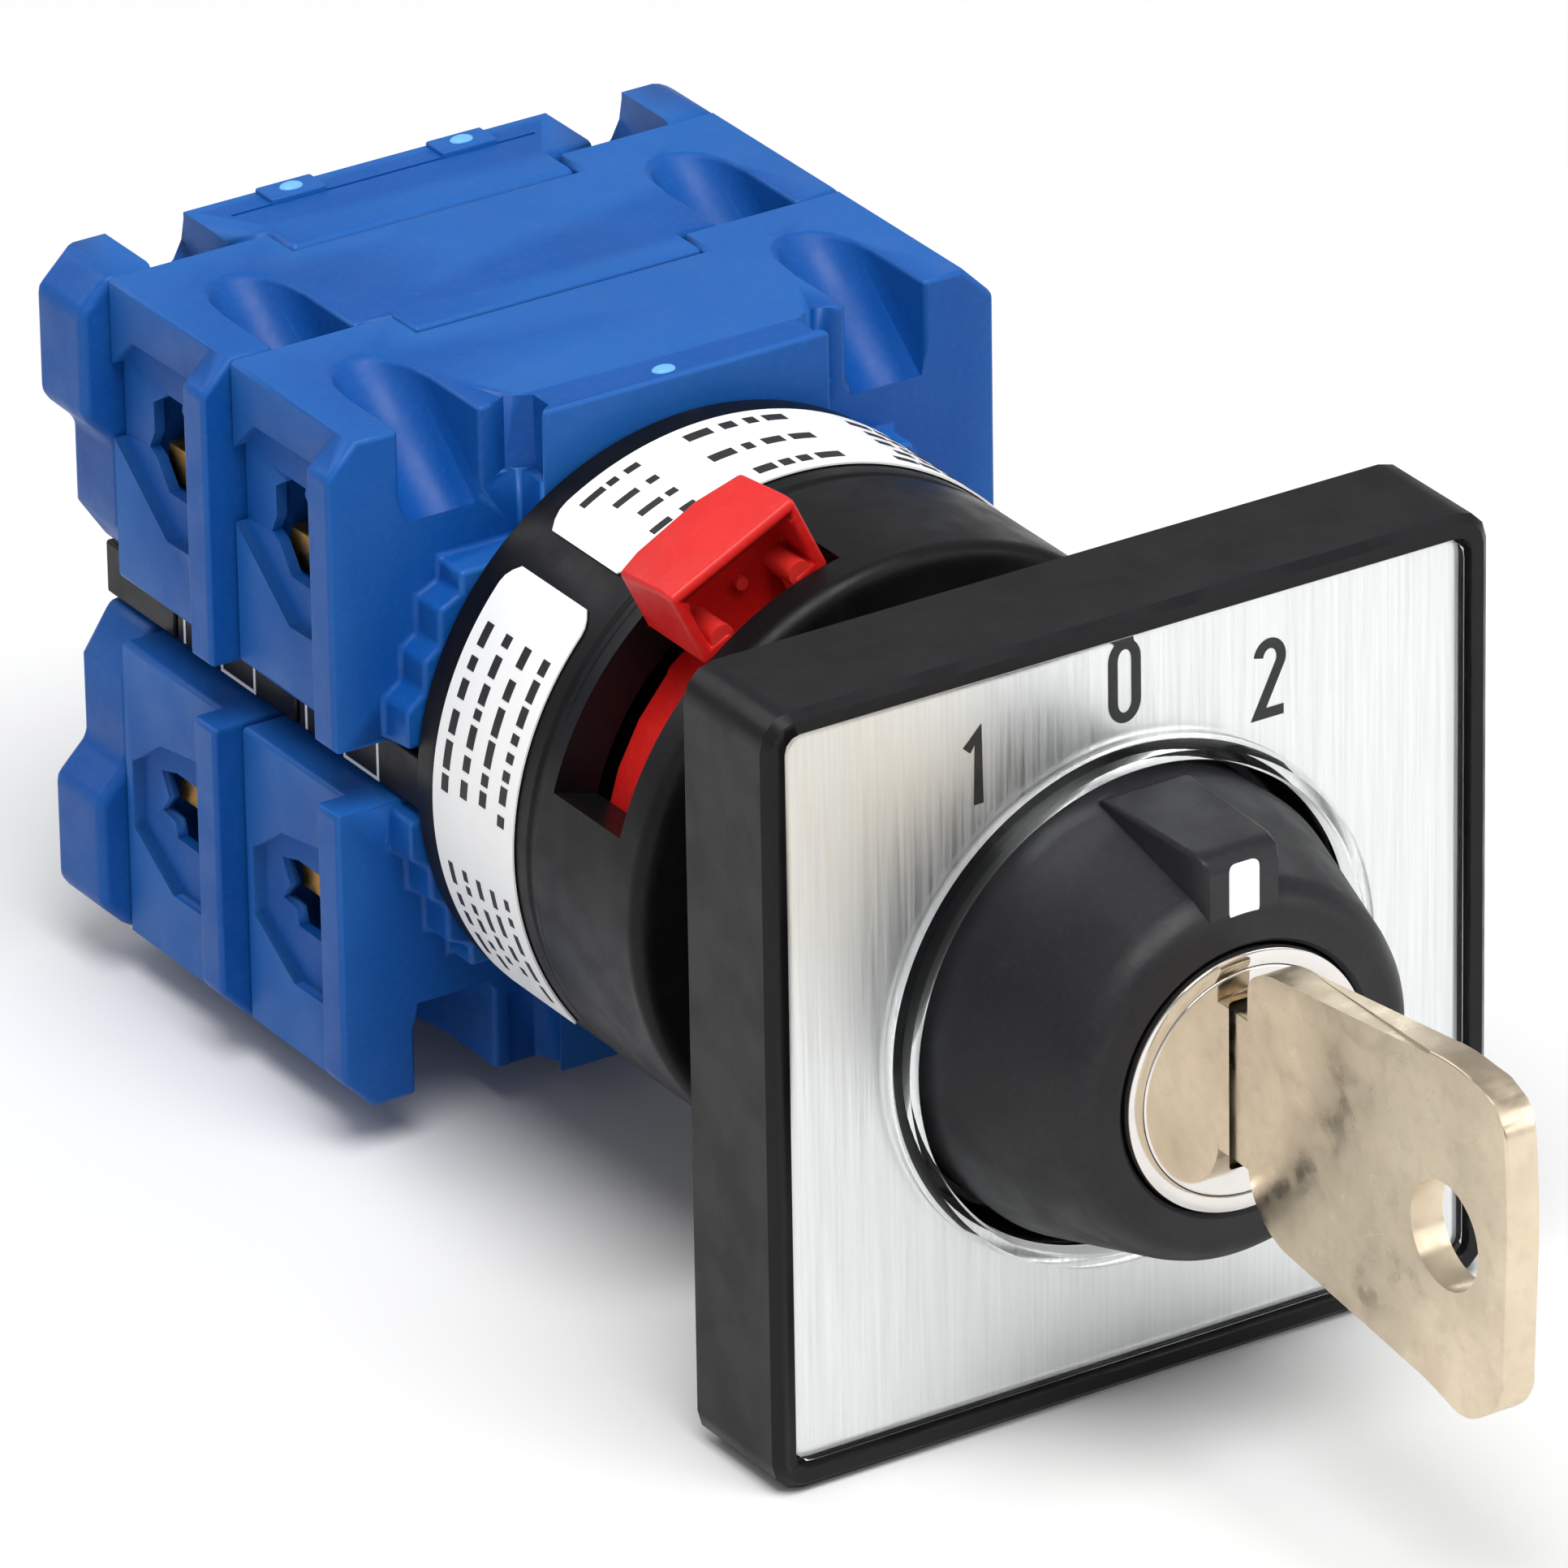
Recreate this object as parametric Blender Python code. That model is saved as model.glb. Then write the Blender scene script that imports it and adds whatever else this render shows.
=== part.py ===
"""Key-operated rotary cam switch for a control panel.

+Z is up and +X is to the right of someone facing the dial.  The dial looks towards -Y and the
contact block points towards +Y.  The origin is on the switch axis, in the plane of the panel's
front face.  Sizes below are in millimetres; make_object turns them into metres.
"""
import math

import bmesh
import bpy
from mathutils import Matrix, Vector

MM = 0.001
GAP = 0.3                 # clearance between neighbouring pieces
OVERRUN = 1.0             # how far a cutter runs past the face it cuts
BACKWARDS = (0.0, 1.0, 0.0)
SIDES = (("left", -1.0), ("right", 1.0))
LEVELS = (("upper", 1), ("lower", -1))
ROUND = 32                # facets round a large turned piece
SMALL_ROUND = 16          # facets round a small turned piece

# Bezel, dial plate and window
BEZEL_HALF = 24.0
BEZEL_CORNER = 2.0
BEZEL_FRONT = -8.2
BEZEL_RIM = 1.3
BEZEL_EDGE = 0.5          # chamfer round the bezel's front
RECESS_CORNER = 1.0
PLATE_BACK = -6.9
PLATE_FRONT = -7.3
WINDOW_BACK = -7.6
WINDOW_FRONT = -8.0
WELL_RADIUS = 14.8
RING_OUTER = 15.8
RING_FRONT = -9.2
WELL_FLOOR = -3.6

GASKET_INNER = 15.3
GASKET_OUTER = 17.9
GASKET_THICK = 0.9

# Selector knob and lock
KNOB_RADIUS = 13.9
KNOB_NECK = 11.3
KNOB_FACE = -19.2
KNOB_SHOULDER_Y = -9.5    # where the straight flank turns into the cone
KNOB_NECK_Y = -18.2
STEM_END = 2.0
NOSE_HALF = 2.6
NOSE_FOOT = 10.0
NOSE_TOP = 14.0
MARK_HALF = 1.1
MARK_BACK = -19.4
MARK_FRONT = -19.7
MARK_LOW = 10.6
MARK_HIGH = 13.2
STEM_RADIUS = 9.2
LOCK_RADIUS = 8.0
PLUG_RADIUS = 6.9
LOCK_FACE = -19.5
LOCK_BACK = -3.0
KEYWAY_HALF = 1.35
KEYWAY_HEIGHT = 5.2

# Key
KEY_THICK = 2.1
KEY_HOLE_RADIUS = 3.2
KEY_TIP = -5.0
KEY_BLADE_HALF = 4.8
KEY_SHOULDER = -20.9
KEY_HOLE_Y = -39.8
KEY_HOLE_Z = -0.4

# Barrel behind the bezel, which passes through the panel
BARREL_RADIUS = 11.0
BARREL_BORE = 9.6
BARREL_END = 24.0
NUT_RADIUS = 14.5
NUT_FRONT = 3.0
NUT_BACK = 8.0

# Collar with the latch
COLLAR_RADIUS = 18.9
COLLAR_BORE = 15.9
COLLAR_FRONT = 13.6
COLLAR_LIP_BORE = 12.9    # front opening, smaller than the room for the latch ring
COLLAR_LIP_BACK = 16.5
COLLAR_FLOOR = 26.0
COLLAR_BACK = 37.2
LABEL_FRONT = 26.6
LABEL_BACK = 35.2
LABEL_THICK = 0.15
LATCH_ANGLE = 26.0        # latch block's middle, from +Z towards -X
LATCH_TRAVEL = 32.0
LATCH_RING_INNER = 12.2
LATCH_RING_OUTER = 15.4
LATCH_FRONT = 16.8
LATCH_BACK = 23.0
LATCH_TOP = 23.2
LATCH_FOOT = 17.9         # underside of the thumb block, inside the collar's slot
LATCH_DOME = (24.1, 22.6) # radius of the thumb block's rounded top at its front and back
LATCH_HALF = 4.6
LATCH_WALL = 0.8
LATCH_NECK_HALF = 2.6
LATCH_MOUTH_HALF = 2.3    # where the pocket is open downwards
POCKET_BACK = 19.6        # how deep the thumb block's front pocket goes
SLOT_PLAY = 0.4           # in front of and behind the latch
SLOT_MARGIN = 16.0        # slot end's angle past the latch block's middle

# Contact block: stages repeat along Y
PITCH = 13.7
FIRST_STAGE = 37.5
STEP = 2.5                # outer part of a stage sits this much further back
OUTER_HALF = 9.8          # where the step runs
BODY_END = 73.0
TOP = 21.2
SIDE = 20.8
RIB_SIDE = 22.6
RIB_TOP = 19.2
RIB_CORNER = 2.0          # how far the slope at the top of a rib reaches inwards
COVER_SLOPE = (5.0, 10.3, 12.4)  # heights of the rear cover's foot, its step and the step's slope
SPLIT = 2.0               # coloured halves stop this far from the middle plane
CORE_SIDE = 18.5
CORE_HALF = 11.0
CORE_TOP = 9.0
CORE_BORE = 8.3
CORE_WALL = 2.0           # back wall of the last core
CONTACT_MIDDLE = 7.6      # from a stage's front to its contacts
RIB_END = 4.9             # from a stage's front to the back of its side ribs
CHANNEL_X = 15.1
CHANNEL_RADIUS = 2.65
CHANNEL_SLOPE = math.radians(39.0)
CHANNEL_CROSSING = 8.3    # where a channel's axis meets the top plane
CHANNEL_ENDS = (-9.0, 8.2)  # along its axis, from that place
CHANNEL_RISE = 12.0       # how far its cutter reaches upwards
ROOF = 19.9               # top of the room for the moving contacts
ROOM_HALF = 10.6
ROOM_START = 3.4          # from a stage's front to that room
ROOM_END = 11.8
STRIP_THICK = 0.8
STRIP_START = 5.4         # from a stage's front to its brass strips
STRIP_WIDE = 4.6
STRIP_INNER = 6.5
STRIP_OUTER = 12.2
CLAMP_START = 6.6         # from a stage's front to its clamps
CLAMP_INNER = 12.0
CLAMP_OUTER = 19.0
CLAMP_TOP = 11.6
CLAMP_END = 12.8
POCKET_START = 6.2        # from a stage's front to its terminal pockets
POCKET_INNER = 11.6
POCKET_SIDE = 19.3
POCKET_END = 13.4
POCKET_TOP = 15.2
POCKET_OVERLAP = 0.1      # so that the pocket opens into the room for the core
STRIP_ROOM = (9.0, 12.4)  # gap for a strip between the contact room and the pocket
STRIP_PLAY = 0.2
RECESS_DEPTH = 0.8
SCREW_RADIUS = 2.1
SCREW_FOOT = 12.0
SCREW_LENGTH = 2.6
SCREW_SLOT_HALF = 0.4
SCREW_SLOT_DEPTH = 0.8

# Front lugs as (x, z)
LUG_OUTLINE = [(9.4, 2.3), (19.2, 2.3), (19.2, 4.8), (18.0, 5.6), (18.0, 7.6), (16.9, 8.3), (16.9, 10.6),
               (15.4, 11.2), (15.4, 12.6), (9.4, 12.6)]

# Side windows as (y from a stage's front, z): a shallow recess with a smaller opening in it
UPPER_RECESS = [(16.0, 15.7), (13.6, 18.0), (5.2, 18.2), (5.2, 6.8), (10.2, 6.6), (16.0, 11.1)]
UPPER_OPENING = [(12.6, 14.4), (11.2, 15.3), (9.6, 15.3), (8.6, 14.2), (8.6, 9.2), (11.1, 9.2),
                 (12.4, 10.9), (13.2, 11.3), (12.6, 12.5)]
LOWER_RECESS = [(15.2, -9.6), (11.9, -7.3), (5.2, -6.2), (5.2, -16.6), (10.9, -16.7), (15.3, -13.9)]
LOWER_OPENING = [(13.2, -9.6), (11.4, -9.1), (9.0, -9.1), (8.6, -13.4), (11.5, -13.4), (11.8, -12.4),
                 (13.2, -12.2), (12.4, -11.1)]

# Shaft, cams and contacts
SHAFT_HALF = 2.5
SHAFT_HOLE_HALF = 2.8
CAM_RADIUS = 5.8
CAM_LIFT = 0.6            # radial change over one switching step
SWITCH_ANGLE = 30.0
CAM_HALF_THICK = 2.6
CAM_CLEARANCE = 0.5
CAM_RAMP = math.radians(55.0)  # the radius grows evenly up to this angle from the level middle
CAM_BLEND = 0.15          # share of the lift given back beyond it
CAM_FACETS = 48
PLUNGER_HALF = 1.4
BRIDGE_Z = 11.0
BRIDGE_HALF = 9.0
SPRING_RADIUS = 1.9
SPRING_WIRE = 0.35
SPRING_TURNS = 4
SPRING_STEPS = 9          # stretches of wire in one turn
SPRING_SIDES = 5          # facets round the wire
BOLT_X = 14.5
BOLT_RADIUS = 1.0
BOLT_LENGTH = 46.0
BOLT_HEAD = 1.2
BOLT_HEAD_RADIUS = 1.35
BOLT_FACETS = 12


# ---------------------------------------------------------------- helpers

def clear_scene():
    for item in list(bpy.data.objects):
        bpy.data.objects.remove(item, do_unlink=True)


def make_collection(name):
    collection = bpy.data.collections.new(name)
    bpy.context.scene.collection.children.link(collection)
    return collection


def linear(channel):
    return channel / 12.92 if channel <= 0.04045 else ((channel + 0.055) / 1.055) ** 2.4


def make_material(name, red, green, blue, roughness, metallic=0.0, alpha=1.0):
    """Principled material; the colour is given as 0-255 screen values."""
    material = bpy.data.materials.new(name)
    material.use_nodes = True
    shader = material.node_tree.nodes["Principled BSDF"]
    colour = [linear(value / 255.0) for value in (red, green, blue)]
    shader.inputs["Base Color"].default_value = (*colour, 1.0)
    shader.inputs["Roughness"].default_value = roughness
    shader.inputs["Metallic"].default_value = metallic
    shader.inputs["Alpha"].default_value = alpha
    material.diffuse_color = (*colour, alpha)
    return material


def make_object(name, mesh_data, collection, material=None, smooth=False):
    """Turn a millimetre bmesh into a named object with its origin on the switch axis."""
    bmesh.ops.recalc_face_normals(mesh_data, faces=mesh_data.faces[:])
    bmesh.ops.scale(mesh_data, verts=mesh_data.verts[:], vec=(MM, MM, MM))
    mesh = bpy.data.meshes.new(name)
    mesh_data.to_mesh(mesh)
    mesh_data.free()
    if smooth:
        mesh.set_sharp_from_angle(angle=math.radians(40.0))
    item = bpy.data.objects.new(name, mesh)
    if material is not None:
        mesh.materials.append(material)
    collection.objects.link(item)
    return item


def loft(rings):
    """Skin a row of rings of equal length and close both ends."""
    shape = bmesh.new()
    loops = [[shape.verts.new(point) for point in ring] for ring in rings]
    for first, second in zip(loops, loops[1:]):
        for index, corner in enumerate(first):
            after = (index + 1) % len(first)
            shape.faces.new((corner, first[after], second[after], second[index]))
    shape.faces.new(loops[0])
    shape.faces.new(reversed(loops[-1]))
    return shape


def spun(profile, closed, facets):
    """Sweep a (radius, y) profile once round the Y axis."""
    shape = bmesh.new()
    points = [shape.verts.new((0.0, y, radius)) for radius, y in profile]
    for first, second in zip(points, points[1:]):
        shape.edges.new((first, second))
    if closed:
        shape.edges.new((points[-1], points[0]))
    bmesh.ops.spin(shape, geom=shape.verts[:] + shape.edges[:], cent=(0.0, 0.0, 0.0), axis=BACKWARDS,
                   angle=2.0 * math.pi, steps=facets, use_merge=True)
    return shape


def turned(profile, facets=ROUND):
    """Solid of revolution about Y; profile is (radius, y) from front to back."""
    shape = spun(profile, False, facets)
    rims = [edge for edge in shape.edges if edge.is_boundary]
    bmesh.ops.holes_fill(shape, edges=rims, sides=facets)
    return shape


def turned_tube(profile, facets=ROUND):
    """Hollow solid of revolution about Y; profile is a closed (radius, y) outline."""
    return spun(profile, True, facets)


def prism(outline, axis, start, end):
    """Extrude an outline along X, Y or Z; the outline holds the other two coordinates in order."""
    place = {
        "X": lambda a, b, along: (along, a, b),
        "Y": lambda a, b, along: (a, along, b),
        "Z": lambda a, b, along: (a, b, along),
    }[axis]
    shape = bmesh.new()
    face = shape.faces.new([shape.verts.new(place(a, b, start)) for a, b in outline])
    extruded = bmesh.ops.extrude_face_region(shape, geom=[face])
    moved = [item for item in extruded["geom"] if isinstance(item, bmesh.types.BMVert)]
    bmesh.ops.translate(shape, verts=moved, vec=place(0.0, 0.0, end - start))
    return shape


def box(low, high):
    """Box between two opposite corners."""
    shape = bmesh.new()
    bmesh.ops.create_cube(shape, size=1.0)
    bmesh.ops.scale(shape, verts=shape.verts[:], vec=Vector(high) - Vector(low))
    bmesh.ops.translate(shape, verts=shape.verts[:], vec=(Vector(high) + Vector(low)) / 2.0)
    return shape


def rounded_square(half, corner, steps=3):
    """Outline of a square with rounded corners."""
    points = []
    for quarter in range(4):
        turn = math.radians(90.0 * quarter)
        middle = Matrix.Rotation(turn, 2) @ Vector((half - corner, half - corner))
        for step in range(steps + 1):
            angle = math.radians(90.0 * step / steps) + turn
            points.append((middle.x + corner * math.cos(angle), middle.y + corner * math.sin(angle)))
    return points


def sloped_cylinder(centre, direction, radius, length, facets=SMALL_ROUND):
    """Cylinder from centre along direction."""
    shape = bmesh.new()
    turn = Vector((0.0, 0.0, 1.0)).rotation_difference(Vector(direction)).to_matrix().to_4x4()
    shift = Matrix.Translation(Vector(centre) + Vector(direction).normalized() * length / 2.0)
    bmesh.ops.create_cone(shape, cap_ends=True, segments=facets, radius1=radius, radius2=radius,
                          depth=length, matrix=shift @ turn)
    return shape


def boolean(item, other, operation="DIFFERENCE"):
    step = item.modifiers.new(other.name, "BOOLEAN")
    step.object = other
    step.operation = operation
    step.solver = "EXACT"


def tool(name, shape):
    """Hidden helper solid used by a boolean."""
    item = make_object(name, shape, tools)
    item.hide_render = True
    item.display_type = "WIRE"
    return item


def cut(item, name, shape):
    boolean(item, tool(item.name + "_" + name, shape))


def add(item, name, shape):
    boolean(item, tool(item.name + "_" + name, shape), "UNION")


# ---------------------------------------------------------------- front of the panel

def build_bezel():
    back = [(x, 0.0, z) for x, z in rounded_square(BEZEL_HALF, BEZEL_CORNER)]
    shoulder_y = BEZEL_FRONT + BEZEL_EDGE
    shoulder = [(x, shoulder_y, z) for x, z in rounded_square(BEZEL_HALF, BEZEL_CORNER)]
    front_outline = rounded_square(BEZEL_HALF - BEZEL_EDGE, BEZEL_CORNER - BEZEL_EDGE)
    front = [(x, BEZEL_FRONT, z) for x, z in front_outline]
    bezel = make_object("bezel_frame", loft([front, shoulder, back]), parts, black)
    recess = rounded_square(BEZEL_HALF - BEZEL_RIM, RECESS_CORNER)
    cut(bezel, "recess", prism(recess, "Y", BEZEL_FRONT - OVERRUN, PLATE_BACK + GAP))
    cut(bezel, "well", turned([(WELL_RADIUS, BEZEL_FRONT), (WELL_RADIUS, WELL_FLOOR)]))
    cut(bezel, "bore", turned([(BARREL_BORE, BEZEL_FRONT), (BARREL_BORE, OVERRUN)]))
    inner = GASKET_INNER - GAP
    outer = GASKET_OUTER + GAP
    floor = -GASKET_THICK - GAP
    groove = [(inner, floor), (outer, floor), (outer, OVERRUN), (inner, OVERRUN)]
    cut(bezel, "groove", turned_tube(groove))


def build_dial():
    inner_half = BEZEL_HALF - BEZEL_RIM - GAP
    sheet = rounded_square(inner_half, RECESS_CORNER)
    plate = make_object("dial_plate", prism(sheet, "Y", PLATE_FRONT, PLATE_BACK), parts, brushed)
    hole = [(WELL_RADIUS + GAP, BEZEL_FRONT - OVERRUN), (WELL_RADIUS + GAP, WELL_FLOOR)]
    cut(plate, "hole", turned(hole))
    window = make_object("clear_window", prism(sheet, "Y", WINDOW_FRONT, WINDOW_BACK), parts, clear)
    add(window, "ring", turned([(RING_OUTER, RING_FRONT), (RING_OUTER, WINDOW_BACK)]))
    cut(window, "hole", turned([(WELL_RADIUS, RING_FRONT - OVERRUN), (WELL_RADIUS, WELL_FLOOR)]))


def build_gasket_barrel_and_nut():
    gasket = [(GASKET_INNER, -GASKET_THICK), (GASKET_OUTER, -GASKET_THICK), (GASKET_OUTER, 0.0),
              (GASKET_INNER, 0.0)]
    make_object("panel_gasket", turned_tube(gasket), parts, rubber)
    barrel = [(BARREL_BORE, GAP), (BARREL_RADIUS, GAP), (BARREL_RADIUS, BARREL_END),
              (BARREL_BORE, BARREL_END)]
    make_object("threaded_barrel", turned_tube(barrel), parts, black)
    inner = BARREL_RADIUS + GAP
    nut = [(inner, NUT_FRONT), (NUT_RADIUS, NUT_FRONT), (NUT_RADIUS, NUT_BACK), (inner, NUT_BACK)]
    make_object("ring_nut", turned_tube(nut, SMALL_ROUND), parts, black)


def build_knob():
    bore = LOCK_RADIUS + GAP
    skirt = WELL_FLOOR - 0.5
    outline = [
        (bore, STEM_END), (STEM_RADIUS, STEM_END), (STEM_RADIUS, skirt), (KNOB_RADIUS, skirt),
        (KNOB_RADIUS, KNOB_SHOULDER_Y), (KNOB_NECK, KNOB_NECK_Y), (KNOB_NECK - 1.0, KNOB_FACE),
        (bore, KNOB_FACE),
    ]
    knob = make_object("selector_knob", turned_tube(outline), parts, black, smooth=True)
    rear = KNOB_SHOULDER_Y + 0.5
    front = KNOB_FACE + 0.1
    nose = [(rear, NOSE_FOOT), (rear, NOSE_TOP), (front + 0.7, NOSE_TOP), (front, NOSE_TOP - 0.6),
            (front, NOSE_FOOT)]
    add(knob, "nose", prism(nose, "X", -NOSE_HALF, NOSE_HALF))
    mark = box((-MARK_HALF, MARK_FRONT, MARK_LOW), (MARK_HALF, MARK_BACK, MARK_HIGH))
    make_object("white_mark", mark, parts, white)


def build_lock():
    sleeve = [(PLUG_RADIUS + GAP, LOCK_FACE), (LOCK_RADIUS, LOCK_FACE), (LOCK_RADIUS, LOCK_BACK),
              (PLUG_RADIUS + GAP, LOCK_BACK)]
    make_object("lock_sleeve", turned_tube(sleeve), parts, chrome, smooth=True)
    plug = make_object("lock_plug", turned([(PLUG_RADIUS, LOCK_FACE), (PLUG_RADIUS, LOCK_BACK)]),
                       parts, chrome, smooth=True)
    low = (-KEYWAY_HALF, LOCK_FACE - OVERRUN, -KEYWAY_HEIGHT)
    high = (KEYWAY_HALF, KEY_TIP + GAP, KEYWAY_HEIGHT)
    cut(plug, "keyway", box(low, high))


def build_key():
    """Flat key: outline in Y and Z, with the blade in the keyway."""
    blade = KEY_BLADE_HALF
    outline = [
        (KEY_TIP, blade - 2.0), (KEY_TIP - 2.0, blade), (KEY_SHOULDER, blade),
        (-21.3, 7.6), (-22.6, 8.3), (-41.0, 10.6), (-43.4, 10.5), (-45.2, 9.0), (-46.0, 6.5),
        (-45.7, -3.0), (-45.3, -7.4), (-44.2, -9.7), (-42.2, -10.9), (-39.8, -10.7), (-22.3, -7.4),
        (-21.0, -6.0), (KEY_SHOULDER, -blade), (KEY_TIP - 2.0, -blade), (KEY_TIP, 2.0 - blade),
    ]
    key = make_object("key", prism(outline, "X", -KEY_THICK / 2.0, KEY_THICK / 2.0), parts, nickel)
    start = (-KEY_THICK, KEY_HOLE_Y, KEY_HOLE_Z)
    cut(key, "hole", sloped_cylinder(start, (1.0, 0.0, 0.0), KEY_HOLE_RADIUS, 2.0 * KEY_THICK))


# ---------------------------------------------------------------- collar and latch

def wedge(start_angle, end_angle, low, high, front, back, steps=8):
    """Curved block between two angles from +Z towards -X and two radii."""
    angles = [math.radians(start_angle + (end_angle - start_angle) * i / steps) for i in range(steps + 1)]
    outer = [(-high * math.sin(angle), high * math.cos(angle)) for angle in angles]
    inner = [(-low * math.sin(angle), low * math.cos(angle)) for angle in reversed(angles)]
    return prism(outer + inner, "Y", front, back)


def turned_about_y(shape, angle):
    """Turn a shape from +Z towards -X."""
    bmesh.ops.rotate(shape, verts=shape.verts[:], cent=(0.0, 0.0, 0.0),
                     matrix=Matrix.Rotation(math.radians(-angle), 3, "Y"))
    return shape


def build_collar():
    shaft_hole = SHAFT_HALF * math.sqrt(2.0) + GAP
    band = COLLAR_RADIUS - GAP
    outline = [
        (COLLAR_LIP_BORE, COLLAR_LIP_BACK), (COLLAR_LIP_BORE, COLLAR_FRONT),
        (COLLAR_RADIUS - 0.9, COLLAR_FRONT),
        (COLLAR_RADIUS, COLLAR_FRONT + 0.8), (COLLAR_RADIUS, LABEL_FRONT - 2.0),
        (band, LABEL_FRONT - 1.6), (band, LABEL_BACK + GAP), (COLLAR_RADIUS, LABEL_BACK + GAP),
        (COLLAR_RADIUS, COLLAR_BACK), (shaft_hole, COLLAR_BACK), (shaft_hole, COLLAR_FLOOR),
        (COLLAR_BORE, COLLAR_FLOOR), (COLLAR_BORE, COLLAR_LIP_BACK),
    ]
    collar = make_object("collar_housing", turned_tube(outline), parts, black, smooth=True)
    slot_end = LATCH_ANGLE + LATCH_TRAVEL + SLOT_MARGIN
    slot = wedge(LATCH_ANGLE - SLOT_MARGIN, slot_end, COLLAR_BORE - OVERRUN, COLLAR_RADIUS + OVERRUN,
                 LATCH_FRONT - SLOT_PLAY, LATCH_BACK + SLOT_PLAY)
    cut(collar, "latch_slot", slot)
    for side, way in SIDES:
        start = (way * BOLT_X, COLLAR_FLOOR - OVERRUN, 0.0)
        length = COLLAR_BACK - COLLAR_FLOOR + 2.0 * OVERRUN
        cut(collar, side + "_bolt_hole", sloped_cylinder(start, BACKWARDS, BOLT_RADIUS + GAP, length))


def build_latch():
    """Red ring inside the collar with a hollow thumb block outside it."""
    ring = [
        (LATCH_RING_INNER, LATCH_FRONT), (LATCH_RING_OUTER, LATCH_FRONT),
        (LATCH_RING_OUTER, LATCH_BACK), (LATCH_RING_INNER, LATCH_BACK),
    ]
    latch = make_object("latch_ring", turned_tube(ring), parts, red)
    neck_low = (-LATCH_NECK_HALF, POCKET_BACK, LATCH_RING_OUTER - OVERRUN)
    neck_high = (LATCH_NECK_HALF, LATCH_BACK - GAP, LATCH_FOOT + OVERRUN)
    add(latch, "neck", turned_about_y(box(neck_low, neck_high), LATCH_ANGLE))
    thumb_low = (-LATCH_HALF, LATCH_FRONT, LATCH_FOOT)
    thumb_high = (LATCH_HALF, LATCH_BACK, LATCH_TOP)
    add(latch, "thumb", turned_about_y(box(thumb_low, thumb_high), LATCH_ANGLE))
    front, back = LATCH_FRONT - OVERRUN, LATCH_BACK + OVERRUN
    beyond = LATCH_TOP + 3.0 * LATCH_WALL
    dome = [(LATCH_DOME[0], front), (beyond, front), (beyond, back), (LATCH_DOME[1], back)]
    cut(latch, "dome", turned_tube(dome))
    side = LATCH_HALF - LATCH_WALL
    pocket_low = (-side, front, LATCH_FOOT + LATCH_WALL)
    pocket_high = (side, POCKET_BACK, LATCH_TOP - 2.0 * LATCH_WALL)
    cut(latch, "pocket", turned_about_y(box(pocket_low, pocket_high), LATCH_ANGLE))
    mouth_low = (-LATCH_MOUTH_HALF, front, LATCH_FOOT - OVERRUN)
    mouth_high = (LATCH_MOUTH_HALF, POCKET_BACK, LATCH_FOOT + LATCH_WALL + OVERRUN)
    cut(latch, "mouth", turned_about_y(box(mouth_low, mouth_high), LATCH_ANGLE))


def build_labels():
    low = COLLAR_RADIUS
    high = COLLAR_RADIUS + LABEL_THICK
    for name, start, end in (("label_left", 44.0, 130.0), ("label_top", -75.0, 36.0)):
        shape = wedge(start, end, low, high, LABEL_FRONT, LABEL_BACK, 14)
        make_object(name, shape, parts, white)


# ---------------------------------------------------------------- contact block


def mirrored(points, sign):
    """Flip an outline of (x, z) or (y, z) points to the lower half when sign is -1."""
    return [(a, b * sign) for a, b in points]


def block_outline(has_contacts):
    """Cross-section of the coloured upper half as (x, z); a stage's side ribs run its full height."""
    right = [(CORE_SIDE, SPLIT), (RIB_SIDE, SPLIT), (RIB_SIDE, RIB_TOP), (RIB_SIDE - RIB_CORNER, TOP)]
    if not has_contacts:
        inner = SIDE - GAP
        foot, step, slope = COVER_SLOPE
        right[1:2] = [(inner, foot), (inner, step), (RIB_SIDE, slope)]
    left = [(-x, z) for x, z in reversed(right)]
    return right + left


def channel(x, start, sign):
    """Screwdriver channel: a sloping half-round groove, open towards the top."""
    along = Vector((0.0, -math.cos(CHANNEL_SLOPE), -math.sin(CHANNEL_SLOPE)))
    crossing = Vector((x, start + CHANNEL_CROSSING, TOP))
    shape = bmesh.new()
    for reach in CHANNEL_ENDS:
        for height in (0.0, CHANNEL_RISE):
            middle = crossing + along * reach + Vector((0.0, 0.0, height))
            for index in range(SMALL_ROUND):
                angle = 2.0 * math.pi * index / SMALL_ROUND
                across = Vector((1.0, 0.0, 0.0)) * math.cos(angle)
                upward = Vector((0.0, -along.z, along.y)) * math.sin(angle)
                shape.verts.new(middle + (across + upward) * CHANNEL_RADIUS)
    hull = bmesh.ops.convex_hull(shape, input=shape.verts[:])
    bmesh.ops.delete(shape, geom=hull["geom_interior"], context="VERTS")
    if sign < 0:
        bmesh.ops.scale(shape, verts=shape.verts[:], vec=(1.0, 1.0, -1.0))
    return shape


def half_box(low, high, sign):
    """Box given for the upper half, flipped to the lower half when sign is -1."""
    bottom, top = sorted((low[2] * sign, high[2] * sign))
    return box((low[0], low[1], bottom), (high[0], high[1], top))


def side_box(low, high, way, sign):
    """Box given for the upper right corner, flipped to the corner that way and sign name."""
    first, second = sorted((low[0] * way, high[0] * way))
    return half_box((first, low[1], low[2]), (second, high[1], high[2]), sign)


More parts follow.
